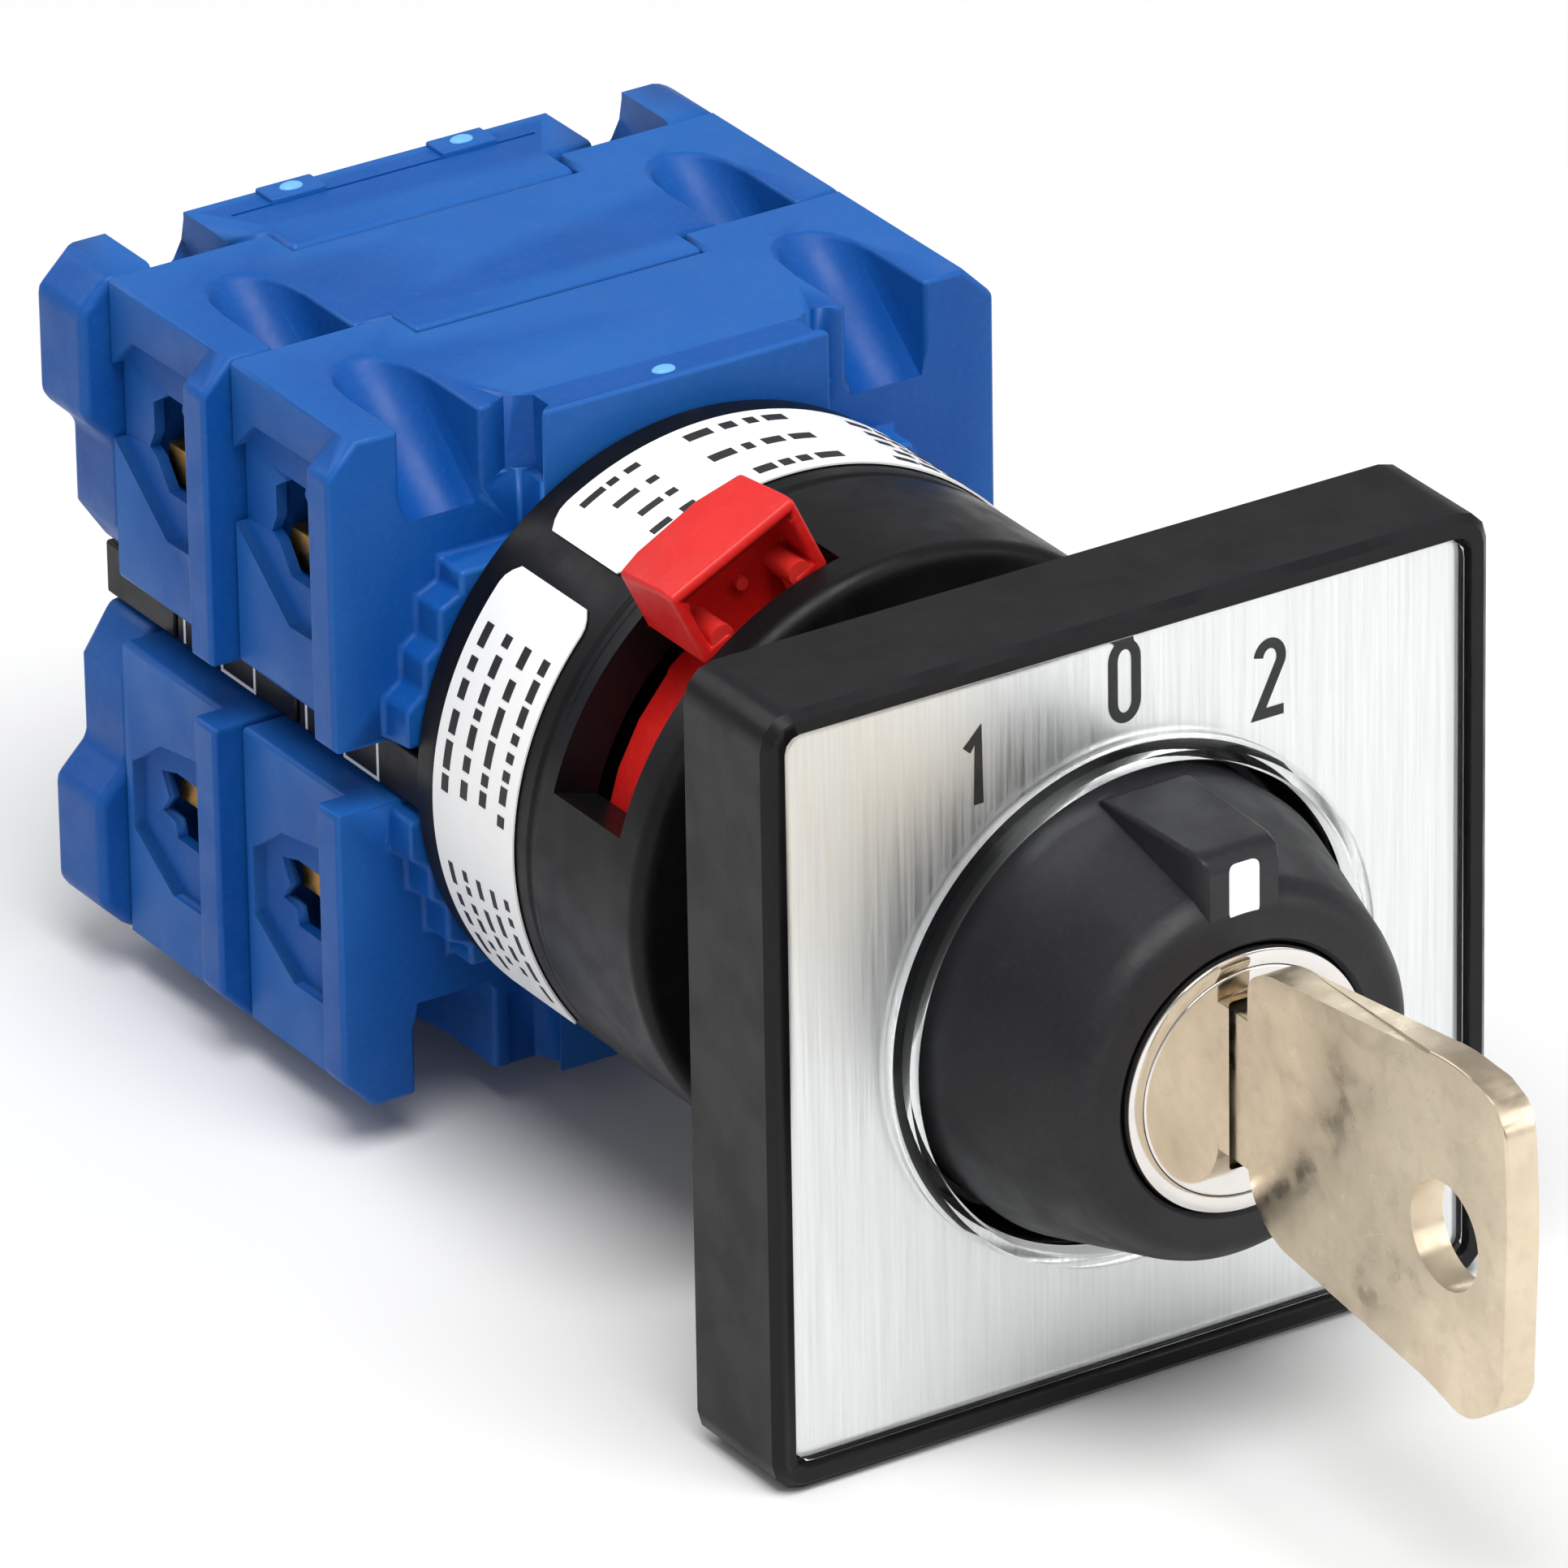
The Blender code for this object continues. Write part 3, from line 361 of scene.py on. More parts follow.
def rod(start, end, radius, facets=FINE):
    """Round rod between two points."""
    start, end = Vector(start), Vector(end)
    shape = bmesh.new()
    turn = Vector((0.0, 0.0, 1.0)).rotation_difference(end - start).to_matrix().to_4x4()
    bmesh.ops.create_cone(shape, cap_ends=True, segments=facets, radius1=radius, radius2=radius,
                          depth=(end - start).length, matrix=Matrix.Translation((start + end) / 2) @ turn)
    return shape


def join(*shapes):
    """One bmesh from several."""
    whole = shapes[0]
    for shape in shapes[1:]:
        spare = bpy.data.meshes.new("spare")
        shape.to_mesh(spare)
        shape.free()
        whole.from_mesh(spare)
        bpy.data.meshes.remove(spare)
    return whole


def stroke(points, width, closed=False):
    """Left and right offset points of a pen line through 2-D points."""
    left, right = [], []
    count = len(points)
    for index, point in enumerate(points):
        here = Vector(point)
        before = Vector(points[index - 1]) if index or closed else None
        after = Vector(points[(index + 1) % count]) if index < count - 1 or closed else None
        into = (here - before).normalized() if before is not None else (after - here).normalized()
        out = (after - here).normalized() if after is not None else into
        normal = Vector((-into.y - out.y, into.x + out.x)).normalized()
        reach = width / 2.0 / max(0.5, normal.dot(Vector((-into.y, into.x))))
        left.append(here + normal * reach)
        right.append(here - normal * reach)
    return left, right


def printed(points, width, place, closed=False):
    """Thin raised pen line; place(a, b, depth) sets a 2-D point on its surface."""
    left, right = stroke(points, width, closed)
    rings = []
    for one, other in zip(left, right):
        rings.append([place(one.x, one.y, 0.0), place(other.x, other.y, 0.0),
                      place(other.x, other.y, SKIN), place(one.x, one.y, SKIN)])
    return loft(rings, capped=not closed)


def cut_with(item, shape):
    """Cut a shape out of a piece at once, so that no helper stays in the scene."""
    tool = new_object("tool", shape)
    step = item.modifiers.new("cut", "BOOLEAN")
    step.object = tool
    step.operation = "DIFFERENCE"
    step.solver = "EXACT"
    apply_modifier(item, step)
    bpy.data.objects.remove(tool, do_unlink=True)


def new_object(name, shape):
    """Scene object from a shape in millimetres."""
    bmesh.ops.recalc_face_normals(shape, faces=shape.faces[:])
    bmesh.ops.scale(shape, verts=shape.verts[:], vec=(MM, MM, MM))
    mesh = bpy.data.meshes.new(name)
    shape.to_mesh(mesh)
    shape.free()
    item = bpy.data.objects.new(name, mesh)
    bpy.context.scene.collection.objects.link(item)
    return item


def put_piece(name, shape, material, body, replaced=(), cuts=(), bevel=0.0, angle=SHARP, segments=3):
    """Finish a piece: round its edges, cut it, shade it, give it its material and its body."""
    item = new_object(name, shape)
    if bevel:
        soften_edges(item, bevel, angle, segments)
    for other in cuts:
        cut_with(item, other)
    item.data.materials.clear()
    item.data.materials.append(MATERIALS[material])
    item.data.shade_smooth()
    item.data.set_sharp_from_angle(angle=math.radians(angle))
    flatten = item.modifiers.new("flat faces", "WEIGHTED_NORMAL")
    flatten.keep_sharp = True
    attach(item, body)
    if replaced:
        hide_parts(*replaced)


def soften_edges(item, width, angle, segments):
    """Round the edges sharper than angle that have room for it on both sides, and apply that at once."""
    shape = bmesh.new()
    shape.from_mesh(item.data)
    weight = shape.edges.layers.float.new("bevel_weight_edge")
    room = width * MM * BEVEL_ROOM
    folded = {edge for edge in shape.edges if edge.calc_face_angle(math.pi) > math.radians(FLAT)}
    for edge in shape.edges:
        near = [other.calc_length() for end in edge.verts for other in end.link_edges if other in folded]
        sharp = edge.calc_face_angle(0.0) > math.radians(angle)
        edge[weight] = 1.0 if sharp and min(near) > room else 0.0
    shape.to_mesh(item.data)
    shape.free()
    step = item.modifiers.new("soft edges", "BEVEL")
    step.width = width * MM
    step.segments = segments
    step.limit_method = "WEIGHT"
    step.use_clamp_overlap = False
    apply_modifier(item, step)


def apply_modifier(item, step):
    """Keep the mesh that the modifier makes, and drop the modifier."""
    bpy.context.view_layer.update()
    result = bpy.data.meshes.new_from_object(item.evaluated_get(bpy.context.evaluated_depsgraph_get()))
    item.modifiers.remove(step)
    item.data = result


def refine(node, material, body, bevel=0.2, cuts=(), segments=3):
    """Copy a CAD node, merge its facets into clean faces and round its edges."""
    shape = bmesh.new()
    shape.from_mesh(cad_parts[node].data)
    bmesh.ops.remove_doubles(shape, verts=shape.verts[:], dist=WELD * MM)
    bmesh.ops.dissolve_limit(shape, angle_limit=math.radians(FLUSH), verts=shape.verts[:],
                             edges=shape.edges[:])
    bmesh.ops.connect_verts_concave(shape, faces=shape.faces[:])
    bmesh.ops.scale(shape, verts=shape.verts[:], vec=(1 / MM, 1 / MM, 1 / MM))
    put_piece(node + "_detail", shape, material, body, (node,), cuts, bevel, segments=segments)


def dress(node, material):
    """Give a CAD node itself a detailed material, so that it still stretches with its joint."""
    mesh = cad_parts[node].data
    mesh.materials.clear()
    mesh.materials.append(MATERIALS[material])


# ---------------------------------------------------------------- dial

def dial_point(x, z):
    """Places 2-D print on the dial plate, round a centre."""
    return lambda a, b, depth: (a + x, PLATE_LOW.y - depth, b + z)


def arc(centre_a, centre_b, radius_a, radius_b, start, end, steps=14):
    """Points on an ellipse between two angles in degrees, counted from +a towards +b."""
    angles = [math.radians(start + (end - start) * i / steps) for i in range(steps + 1)]
    return [(centre_a + radius_a * math.cos(t), centre_b + radius_b * math.sin(t)) for t in angles]


def digit_strokes(digit, height):
    """Pen paths of a condensed sans digit centred on the origin, with a flag for closed paths."""
    half = height / 2.0
    wide = height * 0.17
    top = half - wide
    if digit == "0":
        upper = arc(0.0, top - wide * 0.3, wide, wide * 1.3, 0.0, 180.0)
        lower = arc(0.0, -top + wide * 0.3, wide, wide * 1.3, 180.0, 360.0)
        return [(upper + lower, True)]
    if digit == "1":
        return [([(-wide * 1.0, half - wide * 1.4), (0.0, half - wide * 0.3), (0.0, -half)], False)]
    if digit == "2":
        bow = arc(0.0, top - wide * 0.2, wide, wide * 1.2, 170.0, -20.0)
        foot = 0.25 - half
        return [(bow + [(-wide, foot), (wide * 1.2, foot)], False)]
    if digit == "3":
        return [(arc(0.0, half * 0.5, wide * 1.2, half * 0.5, 150.0, -80.0)
                 + arc(0.0, -half * 0.5, wide * 1.4, half * 0.5, 80.0, -150.0), False)]
    return [([(-wide * 1.3, half), (wide * 1.3, half), (-wide * 0.5, -half)], False)]


def print_number(name, digit, height, width, place, material):
    """One printed digit on the housing."""
    shapes = [printed(path, width, place, closed) for path, closed in digit_strokes(digit, height)]
    put_piece(name, join(*shapes), material, "housing")


def build_dial():
    """Bezel, gasket, brushed plate and the position numbers."""
    refine("bezel_frame", "black", "housing", 0.45, segments=4)
    refine("panel_gasket", "rubber", "housing", 0.2)
    half = PLATE_HIGH.x
    sheet = prism(softened(rectangle(-half, -half, half, half), 1.0), "Y", PLATE_LOW.y, PLATE_HIGH.y)
    hole = turned([(PLATE_BORE, PLATE_LOW.y - 1.0), (PLATE_BORE, PLATE_HIGH.y + 1.0)])
    put_piece("dial_plate_detail", sheet, "plate", "housing", ("dial_plate",), [hole], 0.08)
    radius = 19.3
    raised = 0.3
    height = 4.5
    pen = 0.62
    for digit, angle in (("1", -POSITION_STEP), ("0", 0.0), ("2", POSITION_STEP)):
        x = radius * math.sin(math.radians(angle))
        z = radius * math.cos(math.radians(angle)) + raised
        print_number("dial_number_" + digit, digit, height, pen, dial_point(x, z), "ink")


def build_window():
    """Clear cover: a sheet with a bevelled rim and a raised ring round the knob."""
    half = WINDOW_HIGH.x
    wall = 1.1
    thickness = 0.4
    gap = 0.02
    inner = WINDOW_BORE
    outer = inner + wall
    back = WINDOW_HIGH.y
    front = back - thickness
    ring_front = WINDOW_LOW.y
    outline = [
        (inner, back), (inner, ring_front + 0.25), (inner + 0.15, ring_front + 0.05),
        (inner + 0.4, ring_front), (inner + 0.7, ring_front + 0.08), (inner + 0.95, ring_front + 0.4),
        (outer, front + gap), (outer, back),
    ]
    put_piece("window_ring", turned_tube(outline), "clear", "housing", ("clear_window",))
    sheet = prism(softened(rectangle(-half, -half, half, half), 1.2), "Y", front, back)
    opening = turned([(outer + gap, front - 1.0), (outer + gap, back + 1.0)])
    put_piece("window_sheet", sheet, "clear", "housing", cuts=[opening], bevel=0.15)


# ---------------------------------------------------------------- knob, lock and key

def build_knob():
    """Conical knob, hollow at the back."""
    base = KNOB_HIGH.x
    back = KNOB_HIGH.y
    face = KNOB_LOW.y
    bore = SLEEVE_HIGH.x + 0.12
    neck = base - 2.6
    cavity = 9.2
    rear = -4.1
    shoulder = -9.0
    outline = [
        (bore, back), (cavity, back), (cavity, rear), (base - 0.3, rear), (base, rear - 0.3),
        (base, shoulder), (base - 0.25, shoulder - 0.9), (neck + 0.25, face + 1.7), (neck, face + 1.05),
        (neck - 0.4, face + 0.5), (neck - 0.9, face + 0.12), (neck - 1.5, face), (bore + 0.25, face),
        (bore, face + 0.25),
    ]
    put_piece("selector_knob_detail", turned_tube(outline), "knob", "rotor", ("selector_knob",))


def build_pointer():
    """Pointer nose on top of the knob, with a white mark on its face."""
    face = KNOB_LOW.y
    top = KNOB_HIGH.z
    foot = 9.0
    back = -8.6
    half = 2.6
    back_half = 2.9
    sections = (
        (back, back_half, top - 0.5), (back - 0.8, back_half, top), (face + 1.6, half, top),
        (face + 0.6, half - 0.1, top - 0.25), (face + 0.12, half - 0.35, top - 0.8),
    )
    nose = loft([[(-w, y, foot), (w, y, foot), (w, y, z), (-w, y, z)] for y, w, z in sections])
    put_piece("pointer_nose", nose, "knob", "rotor", bevel=0.28, angle=30.0)
    mark_half, mark_low, mark_high = 1.0, 9.9, 13.3
    outline = softened(rectangle(-mark_half, mark_low, mark_half, mark_high), 0.5)
    mark = prism(outline, "Y", face + 0.08, face + 0.3)
    put_piece("white_mark_detail", mark, "print", "rotor", ("white_mark",), bevel=0.05)


def build_lock():
    """Polished cylinder face with a thin rim, a fine turned groove and the keyway."""
    face = SLEEVE_LOW.y
    rim = SLEEVE_HIGH.x
    plug = PLUG_HIGH.x
    bore = plug + 0.04
    sleeve = [
        (bore, face + 0.12), (plug + 0.1, face + 0.05), (rim - 0.4, face), (rim - 0.12, face + 0.1),
        (rim, face + 0.35), (rim, SLEEVE_HIGH.y), (bore, SLEEVE_HIGH.y),
    ]
    put_piece("lock_sleeve_detail", turned_tube(sleeve), "chrome", "rotor", ("lock_sleeve",))
    disc = [(plug - 0.1, face + 0.05), (plug, face + 0.12), (plug, PLUG_HIGH.y)]
    half_width = 1.3
    half_height = 5.2
    depth_end = -4.8
    outline = softened(rectangle(-half_width, -half_height, half_width, half_height), 0.25, 3)
    keyway = prism(outline, "Y", face - 1.0, depth_end)
    put_piece("lock_plug_detail", turned(disc), "chrome", "rotor", ("lock_plug",), [keyway], 0.06)


def key_outline():
    """Side view of the key: a bow with rounded corners, then a blade with a narrowed tip."""
    tip = KEY_HIGH.y
    tip_start = tip - 1.5
    tip_half = 2.8
    bow = [(KEY_NECK, 7.2), (-22.6, 8.2), (-40.6, 10.5), (-45.4, 9.6), (-45.9, 3.0), (-45.4, -8.6),
           (-41.8, -11.0), (-38.6, -10.0), (-23.2, -8.0), (KEY_NECK, -5.6)]
    blade = [(KEY_NECK, -KEY_BLADE), (tip_start, -KEY_BLADE), (tip, -tip_half), (tip, tip_half),
             (tip_start, KEY_BLADE), (KEY_NECK, KEY_BLADE)]
    return softened(bow, 2.6, 8) + blade


def key_grooves():
    """Milled grooves, one along each side of the blade."""
    floor = KEY_HIGH.x - 0.35
    beyond = KEY_HIGH.x + 0.5
    start = -19.6
    end = KEY_HIGH.y + 1.0
    bottom, top = 1.0, 2.1
    grooves = []
    for _, side in SIDES:
        low, high = sorted((side * floor, side * beyond))
        grooves.append(box((low, start, bottom), (high, end, top)))
    return grooves


def key_notches():
    """Notches of different depths along the blade's lower edge."""
    first = -17.6
    pitch = 3.1
    shallowest = 0.5
    depth_step = 0.35
    mouth_half = 0.9
    root_half = 0.35
    below = -5.6
    notches = []
    for index, depth_steps in enumerate((0, 3, 2, 1)):
        middle = first + index * pitch
        root = shallowest + depth_step * depth_steps - KEY_BLADE
        outline = [(middle - mouth_half, below), (middle + mouth_half, below),
                   (middle + root_half, root), (middle - root_half, root)]
        notches.append(prism(outline, "X", -2.0, 2.0))
    return notches


def build_key():
    """Stamped flat key with a ring hole, milled grooves and notches."""
    half = KEY_HIGH.x
    hole_y, hole_z, hole_radius = -39.8, -0.4, 3.2
    hole = rod((-3.0, hole_y, hole_z), (3.0, hole_y, hole_z), hole_radius)
    cuts = [hole] + key_grooves() + key_notches()
    put_piece("key_detail", prism(key_outline(), "X", -half, half), "key", "key", ("key",), cuts, 0.2, 40.0)


# ---------------------------------------------------------------- barrel, collar, latch, labels

def build_barrel():
    """Threaded barrel."""
    crest = BARREL_HIGH.x
    root = crest - 0.5
    pitch = 1.5
    outline = [(BARREL_BORE, BARREL_LOW.y), (crest - 0.3, BARREL_LOW.y)]
    y = BARREL_LOW.y + 0.6
    while y < BARREL_HIGH.y - pitch:
        outline += [(root, y), (crest, y + pitch * 0.45), (crest, y + pitch * 0.6)]
        y += pitch
    outline += [(root, BARREL_HIGH.y), (BARREL_BORE, BARREL_HIGH.y)]
    put_piece("threaded_barrel_detail", turned_tube(outline, FINE), "black", "housing", ("threaded_barrel",))


def build_ring_nut():
    """Nut on the barrel, with ribs to grip it by."""
    facets = 144
    per_rib = 6
    per_groove = 2
    groove = 0.7
    rim = NUT_HIGH.x
    profile = (
        (NUT_BORE, NUT_LOW.y), (rim - 0.5, NUT_LOW.y), (rim, NUT_LOW.y + 0.6), (rim, NUT_HIGH.y - 0.6),
        (rim - 0.5, NUT_HIGH.y), (NUT_BORE, NUT_HIGH.y),
    )
    rings = []
    for edge, y in profile:
        ring = []
        for index in range(facets):
            angle = 2.0 * math.pi * index / facets
            grooved = edge > NUT_BORE and index % per_rib < per_groove
            radius = edge - groove if grooved else edge
            ring.append((radius * math.sin(angle), y, radius * math.cos(angle)))
        rings.append(ring)
    put_piece("ring_nut_detail", loft(rings, capped=False), "black", "housing", ("ring_nut",))


def collar_profile():
    """Half section of the hollow collar, with a shallow band for the labels."""
    rim = COLLAR_HIGH.x
    front = COLLAR_LOW.y
    back = COLLAR_HIGH.y
    bore = COLLAR_BORE
    floor = COLLAR_FLOOR
    lip = COLLAR_LIP
    lip_back = LATCH_LOW.y - 0.3
    label_front = LABEL_LOW.y
    label_back = LABEL_HIGH.y
    groove = rim - 0.2
    band = rim - 0.05
    shaft_hole = 4.2
    return [
        (lip, lip_back), (lip, front + 0.3), (lip + 0.3, front), (rim - 1.2, front), (rim - 0.5, front + 0.2),
        (rim - 0.1, front + 0.6), (rim, front + 1.1), (rim, label_front - 2.2), (groove, label_front - 2.0),
        (groove, label_front - 1.4), (band, label_front - 1.2), (band, label_back + 0.4),
        (rim, label_back + 0.5), (rim, back), (shaft_hole, back), (shaft_hole, floor), (bore, floor),
        (bore, lip_back),
    ]


def build_collar():
    """Hollow black collar with the slot that the thumb block runs in, bolt holes and screw pockets."""
    start = LATCH_TILT - SLOT_MARGIN
    end = LATCH_TILT + LATCH_TRAVEL + SLOT_MARGIN
    play = 0.4
    slot = arc_block(start, end, COLLAR_BORE - 1.5, COLLAR_HIGH.x + 2.0,
                     LATCH_LOW.y - play, LATCH_HIGH.y + play)
    cuts = [slot]
    hole_start = COLLAR_FLOOR - 1.0
    hole_end = COLLAR_HIGH.y + 1.0
    hole_radius = 1.3
    for _, side in SIDES:
        across = side * BOLT_X
        cuts.append(rod((across, hole_start, 0.0), (across, hole_end, 0.0), hole_radius))
    pocket_start = COLLAR_FLOOR - 1.6
    pocket_end = COLLAR_FLOOR + 4.0
    pocket_circle = 11.6
    pocket_radius = 2.0
    for angle in (120.0, 240.0):
        pocket = rod((0.0, pocket_start, pocket_circle), (0.0, pocket_end, pocket_circle), pocket_radius)
        cuts.append(turn_about_axis(pocket, angle))
    collar = turned_tube(collar_profile())
    put_piece("collar_housing_detail", collar, "black", "housing", ("collar_housing",), cuts, 0.12)


def build_latch():
    """The red thumb block: a deep front pocket, a rounded post each side of its open foot, a small pip."""
    front = LATCH_LOW.y
    half, pocket_low, pocket_high = 3.75, 19.5, 22.45
    pocket = box((-half, front - 1.0, pocket_low), (half, POCKET_BACK, pocket_high))
    refine("latch_ring", "red", "latch", 0.32, [turn_about_axis(pocket, LATCH_TILT)])
    post_x, post_z, post_radius = 2.9, 18.7, 0.75
    sunk = POCKET_BACK + 0.2
    for index, (_, side) in enumerate(SIDES):
        across = side * post_x
        post = rod((across, front + 0.1, post_z), (across, sunk, post_z), post_radius, COARSE)
        turn_about_axis(post, LATCH_TILT)
        put_piece("latch_post_" + str(index + 1), post, "red", "latch", bevel=0.15)
    pip_x, pip_z, pip_radius = 0.3, 19.0, 0.4
    pip = rod((pip_x, POCKET_BACK - 0.5, pip_z), (pip_x, sunk, pip_z), pip_radius, COARSE)
    put_piece("latch_pip", turn_about_axis(pip, LATCH_TILT), "red", "latch", bevel=0.1)


def label_rows(name, start, end, rows, height):
    """Rows of plain dashes that stand for the small print on a label; angles in degrees."""
    edge = 1.3
    front = LABEL_LOW.y + edge
    back = LABEL_HIGH.y - edge
    first = start + 3.0
    last = end - 6.0
    shortest, longest = 1.6, 5.2
    narrowest, widest = 0.9, 2.4
    shapes = []
    for row in range(rows):
        y = front + row * (back - front) / (rows - 1)
        angle = first
        while angle < last:
            length = random.uniform(shortest, longest)
            dash = (LABEL_FACE, LABEL_FACE + SKIN, y - height / 2.0, y + height / 2.0)
            shapes.append(arc_block(angle, angle + length, *dash, steps=5))
            angle += length + random.uniform(narrowest, widest)
    put_piece(name, join(*shapes), "ink", "housing")


def label_sheet(start, end):
    """Thin sheet bent round the collar between two angles, with rounded ends."""
    front = LABEL_LOW.y
    back = LABEL_HIGH.y
    back_face = LABEL_FACE - 0.12
    steps = 60
    rounded = 3.0
    cut_back = 0.9
    rings = []
    for index in range(steps + 1):
        share = index / steps
        angle = math.radians(start + (end - start) * share)
        from_end = min(share, 1.0 - share) * steps
        inset = cut_back * (1.0 - min(1.0, from_end / rounded)) ** 2
        section = ((back_face, front + inset), (back_face, back - inset),
                   (LABEL_FACE, back - inset), (LABEL_FACE, front + inset))
        rings.append([(-radius * math.sin(angle), y, radius * math.cos(angle)) for radius, y in section])
    return loft(rings)


def build_labels():
    """Two white labels and their rows of dashes."""
    for node, start, end in (("label_left", 44.0, 130.0), ("label_top", -75.0, 36.0)):
        put_piece(node + "_detail", label_sheet(start, end), "paper", "housing", (node,))
    label_rows("label_left_print", 52.0, 92.0, 4, 0.7)
    label_rows("label_left_small_print", 97.0, 126.0, 5, 0.45)
    label_rows("label_top_print", -70.0, -22.0, 5, 0.6)
    label_rows("label_top_small_print", -16.0, 10.0, 3, 0.8)
    label_rows("label_top_code", 14.0, 33.0, 4, 0.55)


# ---------------------------------------------------------------- contact block

def corner_notches(sign):
    """Hexagonal pockets in the top corners of the first stage, beside the collar's seat."""
    across = 10.4
    y = BLOCK_LOW.y + 1.4
    foot = sign * (BLOCK_HIGH.z - 4.5)
    beyond = sign * (BLOCK_HIGH.z + 1.0)
    radius = 1.7
    return [rod((side * across, y, foot), (side * across, y, beyond), radius, facets=6) for _, side in SIDES]


def spring_seat(stage, level, sign):
    """Round seat that gives the end of a contact spring clear room under a moulding's roof."""
    low, high = edges("spring_" + stage + "_" + level)
    play = 0.3
    overlap = 0.5
    middle = (low.y + high.y) / 2.0
    radius = (high.y - low.y) / 2.0 + play
    end = high.z if sign > 0 else low.z
    return rod((0.0, middle, end - sign * overlap), (0.0, middle, end + sign * SEAT_DEPTH), radius)


def build_blocks():
    """Blue mouldings and black cores of both stages, and the rear covers."""
    for stage in STAGES:
        for level, sign in LEVELS:
            cuts = corner_notches(sign) if stage == "front" else []
            cuts.append(spring_seat(stage, level, sign))
            refine("block_" + stage + "_" + level, "blue", "housing", 0.35, cuts)
        refine("core_" + stage, "black", "housing", 0.2)
    groove_half, groove_front, groove_back = 10.4, 70.5, 70.75
    for level, sign in LEVELS:
        low, high = sorted((sign * (COVER_HIGH.z - 0.15), sign * (COVER_HIGH.z + 1.0)))
        groove = box((-groove_half, groove_front, low), (groove_half, groove_back, high))
        refine("rear_cover_" + level, "blue", "housing", 0.6, [groove])


def build_rear_plate():
    """Back of the switch: engraved rings round the shaft's end and a line each side."""
    beyond = BACK_HIGH.y + 1.0
    floor = BACK_HIGH.y - 0.35
    cuts = []
    for inner, outer in ((3.4, 3.75), (6.2, 6.55)):
        cuts.append(turned_tube([(inner, floor), (outer, floor), (outer, beyond), (inner, beyond)], FINE))
    line_x, half_length, half_width = 8.6, 7.4, 0.2
    for _, side in SIDES:
        across = side * line_x
        low = (across - half_width, floor, -half_length)
        high = (across + half_width, beyond, half_length)
        cuts.append(box(low, high))
    refine("rear_plate", "black", "housing", 0.2, cuts)


def side_point(y):
    """Places 2-D print on the cores' left side; a runs towards the dial from y, and b upwards."""
    return lambda a, b, depth: (CORE_LOW.x - depth, y - a, b)


def build_side_print():
    """White frames and terminal numbers along the black cores."""
    half = 1.5
    near, far, number, bar = 4.6, 8.3, 10.4, 12.5
    frame_path = [(-far, -half), (-near, -half), (-near, half), (-far, half)]
    bar_path = [(-bar, -half), (-bar, half)]
    line_pen = 0.22
    number_height = 2.4
    number_pen = 0.26
    for stage, low, digit in (("front", CORE_LOW, "3"), ("rear", REAR_CORE_LOW, "7")):
        place = side_point(low.y)
        put_piece("frame_print_" + stage, printed(frame_path, line_pen, place, True), "print", "housing")
        put_piece("bar_print_" + stage, printed(bar_path, line_pen, place), "print", "housing")
        print_number("terminal_number_" + stage, digit, number_height, number_pen,
                     side_point(low.y + number), "print")


def gate_mark(name, x, y, z):
    """Small pale dome left where the moulding was broken from its runner."""
    radius = 0.75
    flattened = (1.0, 0.7, 0.3)
    dome = bmesh.new()
    bmesh.ops.create_uvsphere(dome, u_segments=COARSE, v_segments=COARSE // 2, radius=radius)
    bmesh.ops.scale(dome, verts=dome.verts[:], vec=flattened)
    bmesh.ops.translate(dome, verts=dome.verts[:], vec=(x, y, z))
    put_piece(name, dome, "gate", "housing")


def build_gate_marks():
    """Gate marks, and the two low pads along the rear edge of the top."""
    top = COVER_HIGH.z
    pad_top = top + 0.3
    pad_foot = top - 0.5
    pad_half = 1.9
    rear = COVER_HIGH.y
    pad_front = rear - 2.0
    for index, x in enumerate((-5.7, 6.0)):
        gate_mark("gate_mark_" + str(index + 1), x, rear - 1.0, pad_top)
        pad = box((x - pad_half, pad_front, pad_foot), (x + pad_half, rear, pad_top))
        put_piece("top_pad_" + str(index + 1), pad, "blue", "housing", bevel=0.15)
    front = BLOCK_LOW.y + 0.9
    gate_mark("gate_mark_3", -1.0, front, top)
    gate_mark("gate_mark_4", 3.0, front, -top)


def build_terminals():
    """Brass clamps and plated screws, seen through the side windows."""
    for stage in STAGES:
        for level, _ in LEVELS:
            for side, _ in SIDES:
                suffix = stage + "_" + level + "_" + side
                refine("terminal_" + suffix, "brass", "housing", 0.15)
                refine("screw_" + suffix, "steel", "housing", 0.2)


def build_insides():
    """Cams, contacts, shaft and bolts."""
    for stage in STAGES:
        refine("cam_" + stage, "ivory", "rotor", 0.1)
        for level, _ in LEVELS:
            body = "contact_" + stage + "_" + level
            refine("plunger_" + stage + "_" + level, "ivory", body, 0.15)
            refine("bridge_" + stage + "_" + level, "brass", body, 0.1)
            dress("spring_" + stage + "_" + level, "steel")
    refine("drive_shaft", "steel", "rotor", 0.2)
    for side, _ in SIDES:
        refine("tie_bolt_" + side, "steel", "housing", 0.1)


# ---------------------------------------------------------------- studio

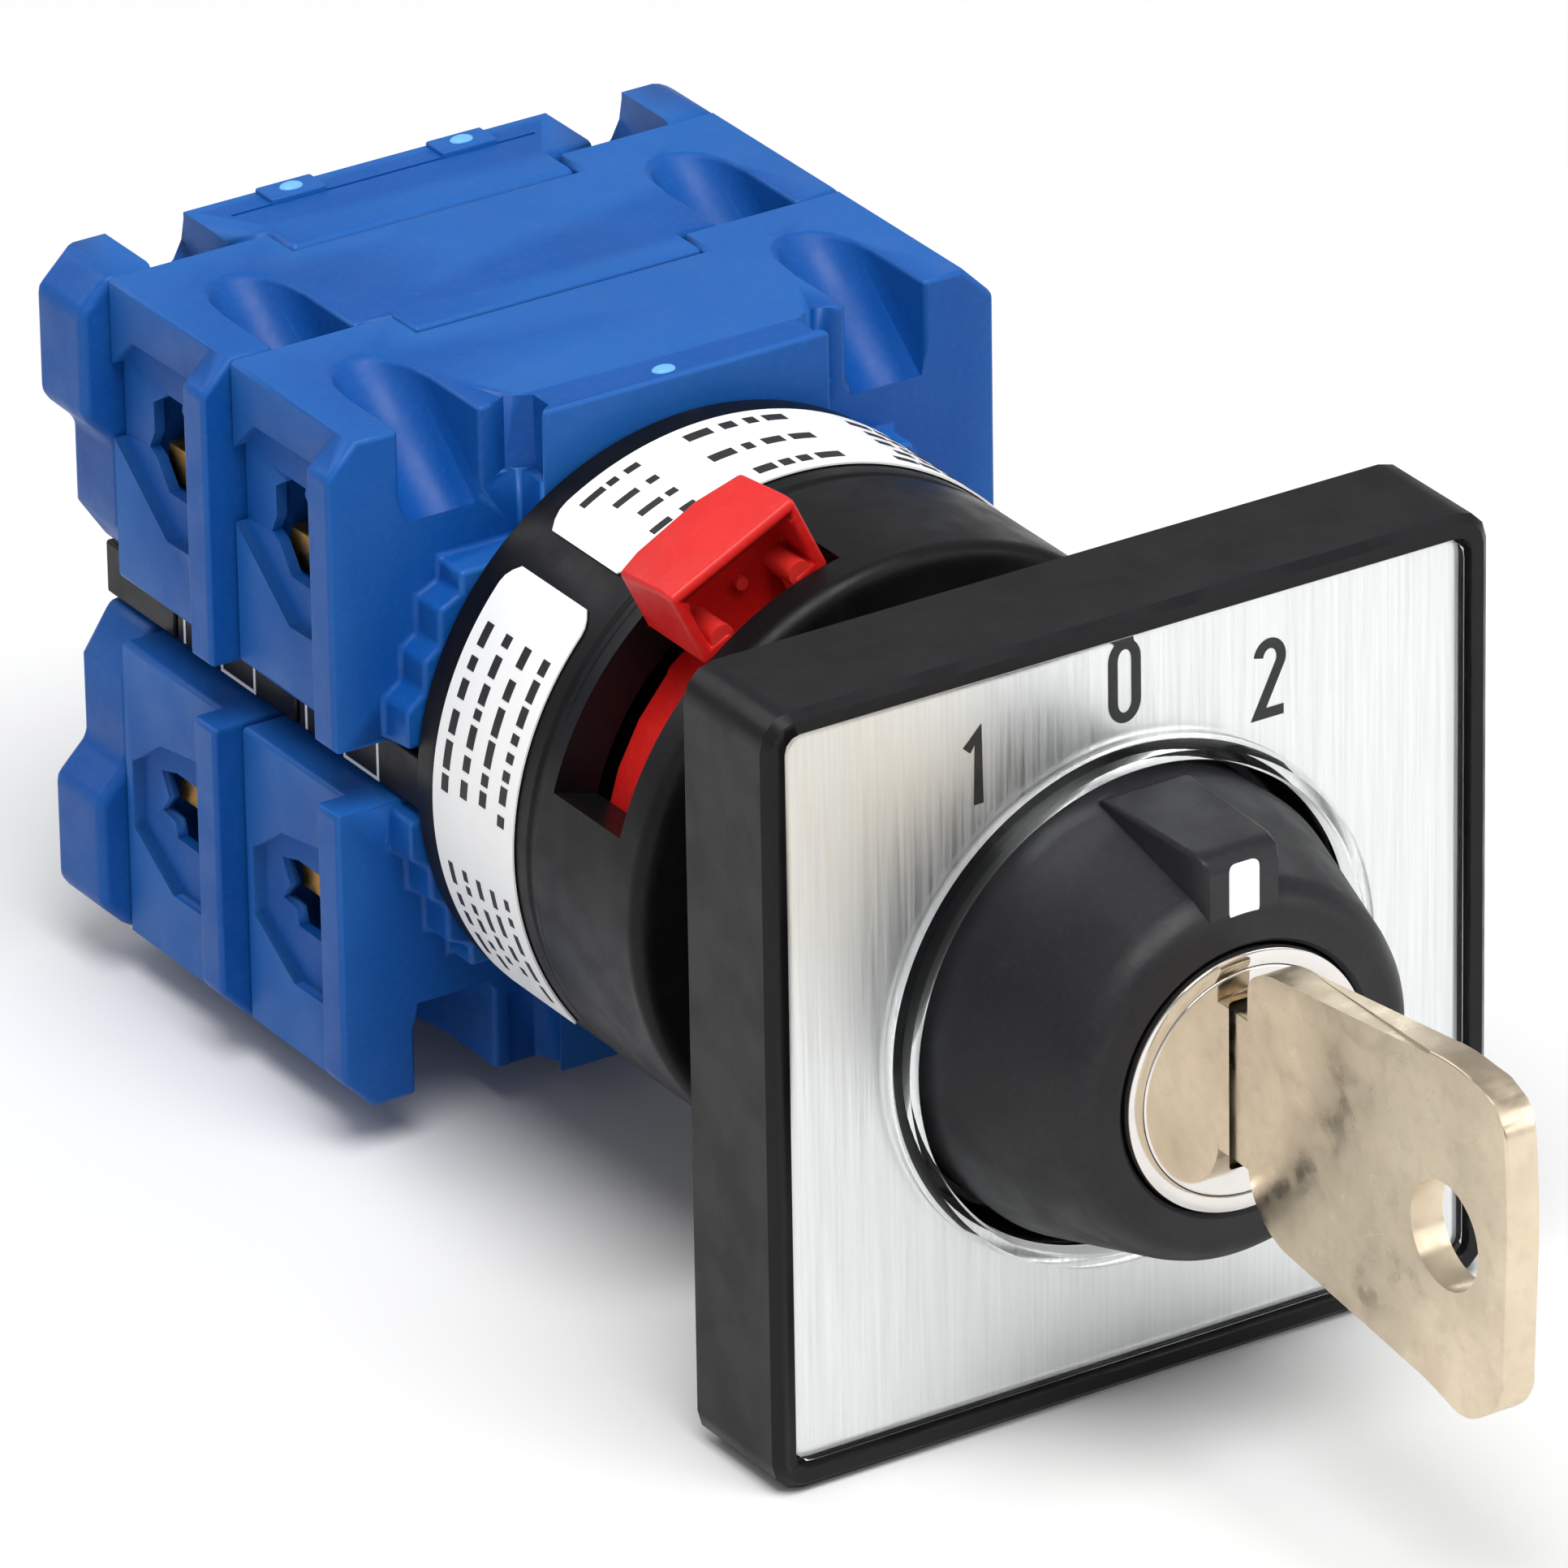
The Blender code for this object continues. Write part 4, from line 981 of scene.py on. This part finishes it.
def build_floor():
    """Wide pale floor just under the bezel."""
    shape = bmesh.new()
    bmesh.ops.create_grid(shape, x_segments=8, y_segments=8, size=2500.0,
                          matrix=Matrix.Translation((0.0, 0.0, BEZEL_LOW.z - 0.1)))
    floor = new_object("floor", shape)
    surface = Surface("pale_floor", colour(230, 230, 230), 0.7)
    surface.tint(surface.spread(surface.noise(6.0), 0.0, 0.3), colour(226, 226, 226))
    floor.data.materials.append(surface.material)


def build_lights():
    """Three soft round lights aimed at the middle of the switch, and an even white world."""
    lights = (
        ("key_light", (-100, -250, 750), 600, 7.0),
        ("fill_light", (500, -560, 300), 600, 1.6),
        ("back_light", (-250, 600, 480), 500, 1.0),
    )
    aimed_at = Vector((0.0, 20.0, 0.0)) * MM
    for name, place, size, power in lights:
        data = bpy.data.lights.new(name, "AREA")
        data.shape = "DISK"
        data.size = size * MM
        data.energy = power
        light = bpy.data.objects.new(name, data)
        light.location = Vector(place) * MM
        aim = aimed_at - light.location
        light.rotation_euler = aim.to_track_quat("-Z", "Y").to_euler()
        bpy.context.scene.collection.objects.link(light)
    world = bpy.data.worlds.new("studio")
    world.use_nodes = True
    background = world.node_tree.nodes["Background"]
    background.inputs["Color"].default_value = (1.0, 1.0, 1.0, 1.0)
    background.inputs["Strength"].default_value = 0.44
    bpy.context.scene.world = world
    bpy.context.scene.view_settings.view_transform = "Standard"


def build_camera():
    """Long lens in front of the dial, to its left and above it."""
    azimuth = math.radians(-32.2)
    elevation = math.radians(26.3)
    roll = math.radians(-1.0)
    place = Vector((-445.7, -678.0, 413.3)) * MM
    back = Vector((math.sin(azimuth) * math.cos(elevation), -math.cos(azimuth) * math.cos(elevation),
                   math.sin(elevation)))
    data = bpy.data.cameras.new("camera")
    data.sensor_width = 36.0
    data.lens = 374.1
    data.shift_x = 0.0116
    data.shift_y = -0.0187
    camera = bpy.data.objects.new("camera", data)
    turn = (-back).to_track_quat("-Z", "Y").to_matrix().to_4x4() @ Matrix.Rotation(roll, 4, "Z")
    camera.matrix_world = Matrix.Translation(place) @ turn
    bpy.context.scene.collection.objects.link(camera)
    bpy.context.scene.camera = camera


build_dial()
build_window()
build_knob()
build_pointer()
build_lock()
build_key()
build_barrel()
build_ring_nut()
build_collar()
build_latch()
build_labels()
build_blocks()
build_rear_plate()
build_side_print()
build_gate_marks()
build_terminals()
build_insides()
build_floor()
build_lights()
build_camera()
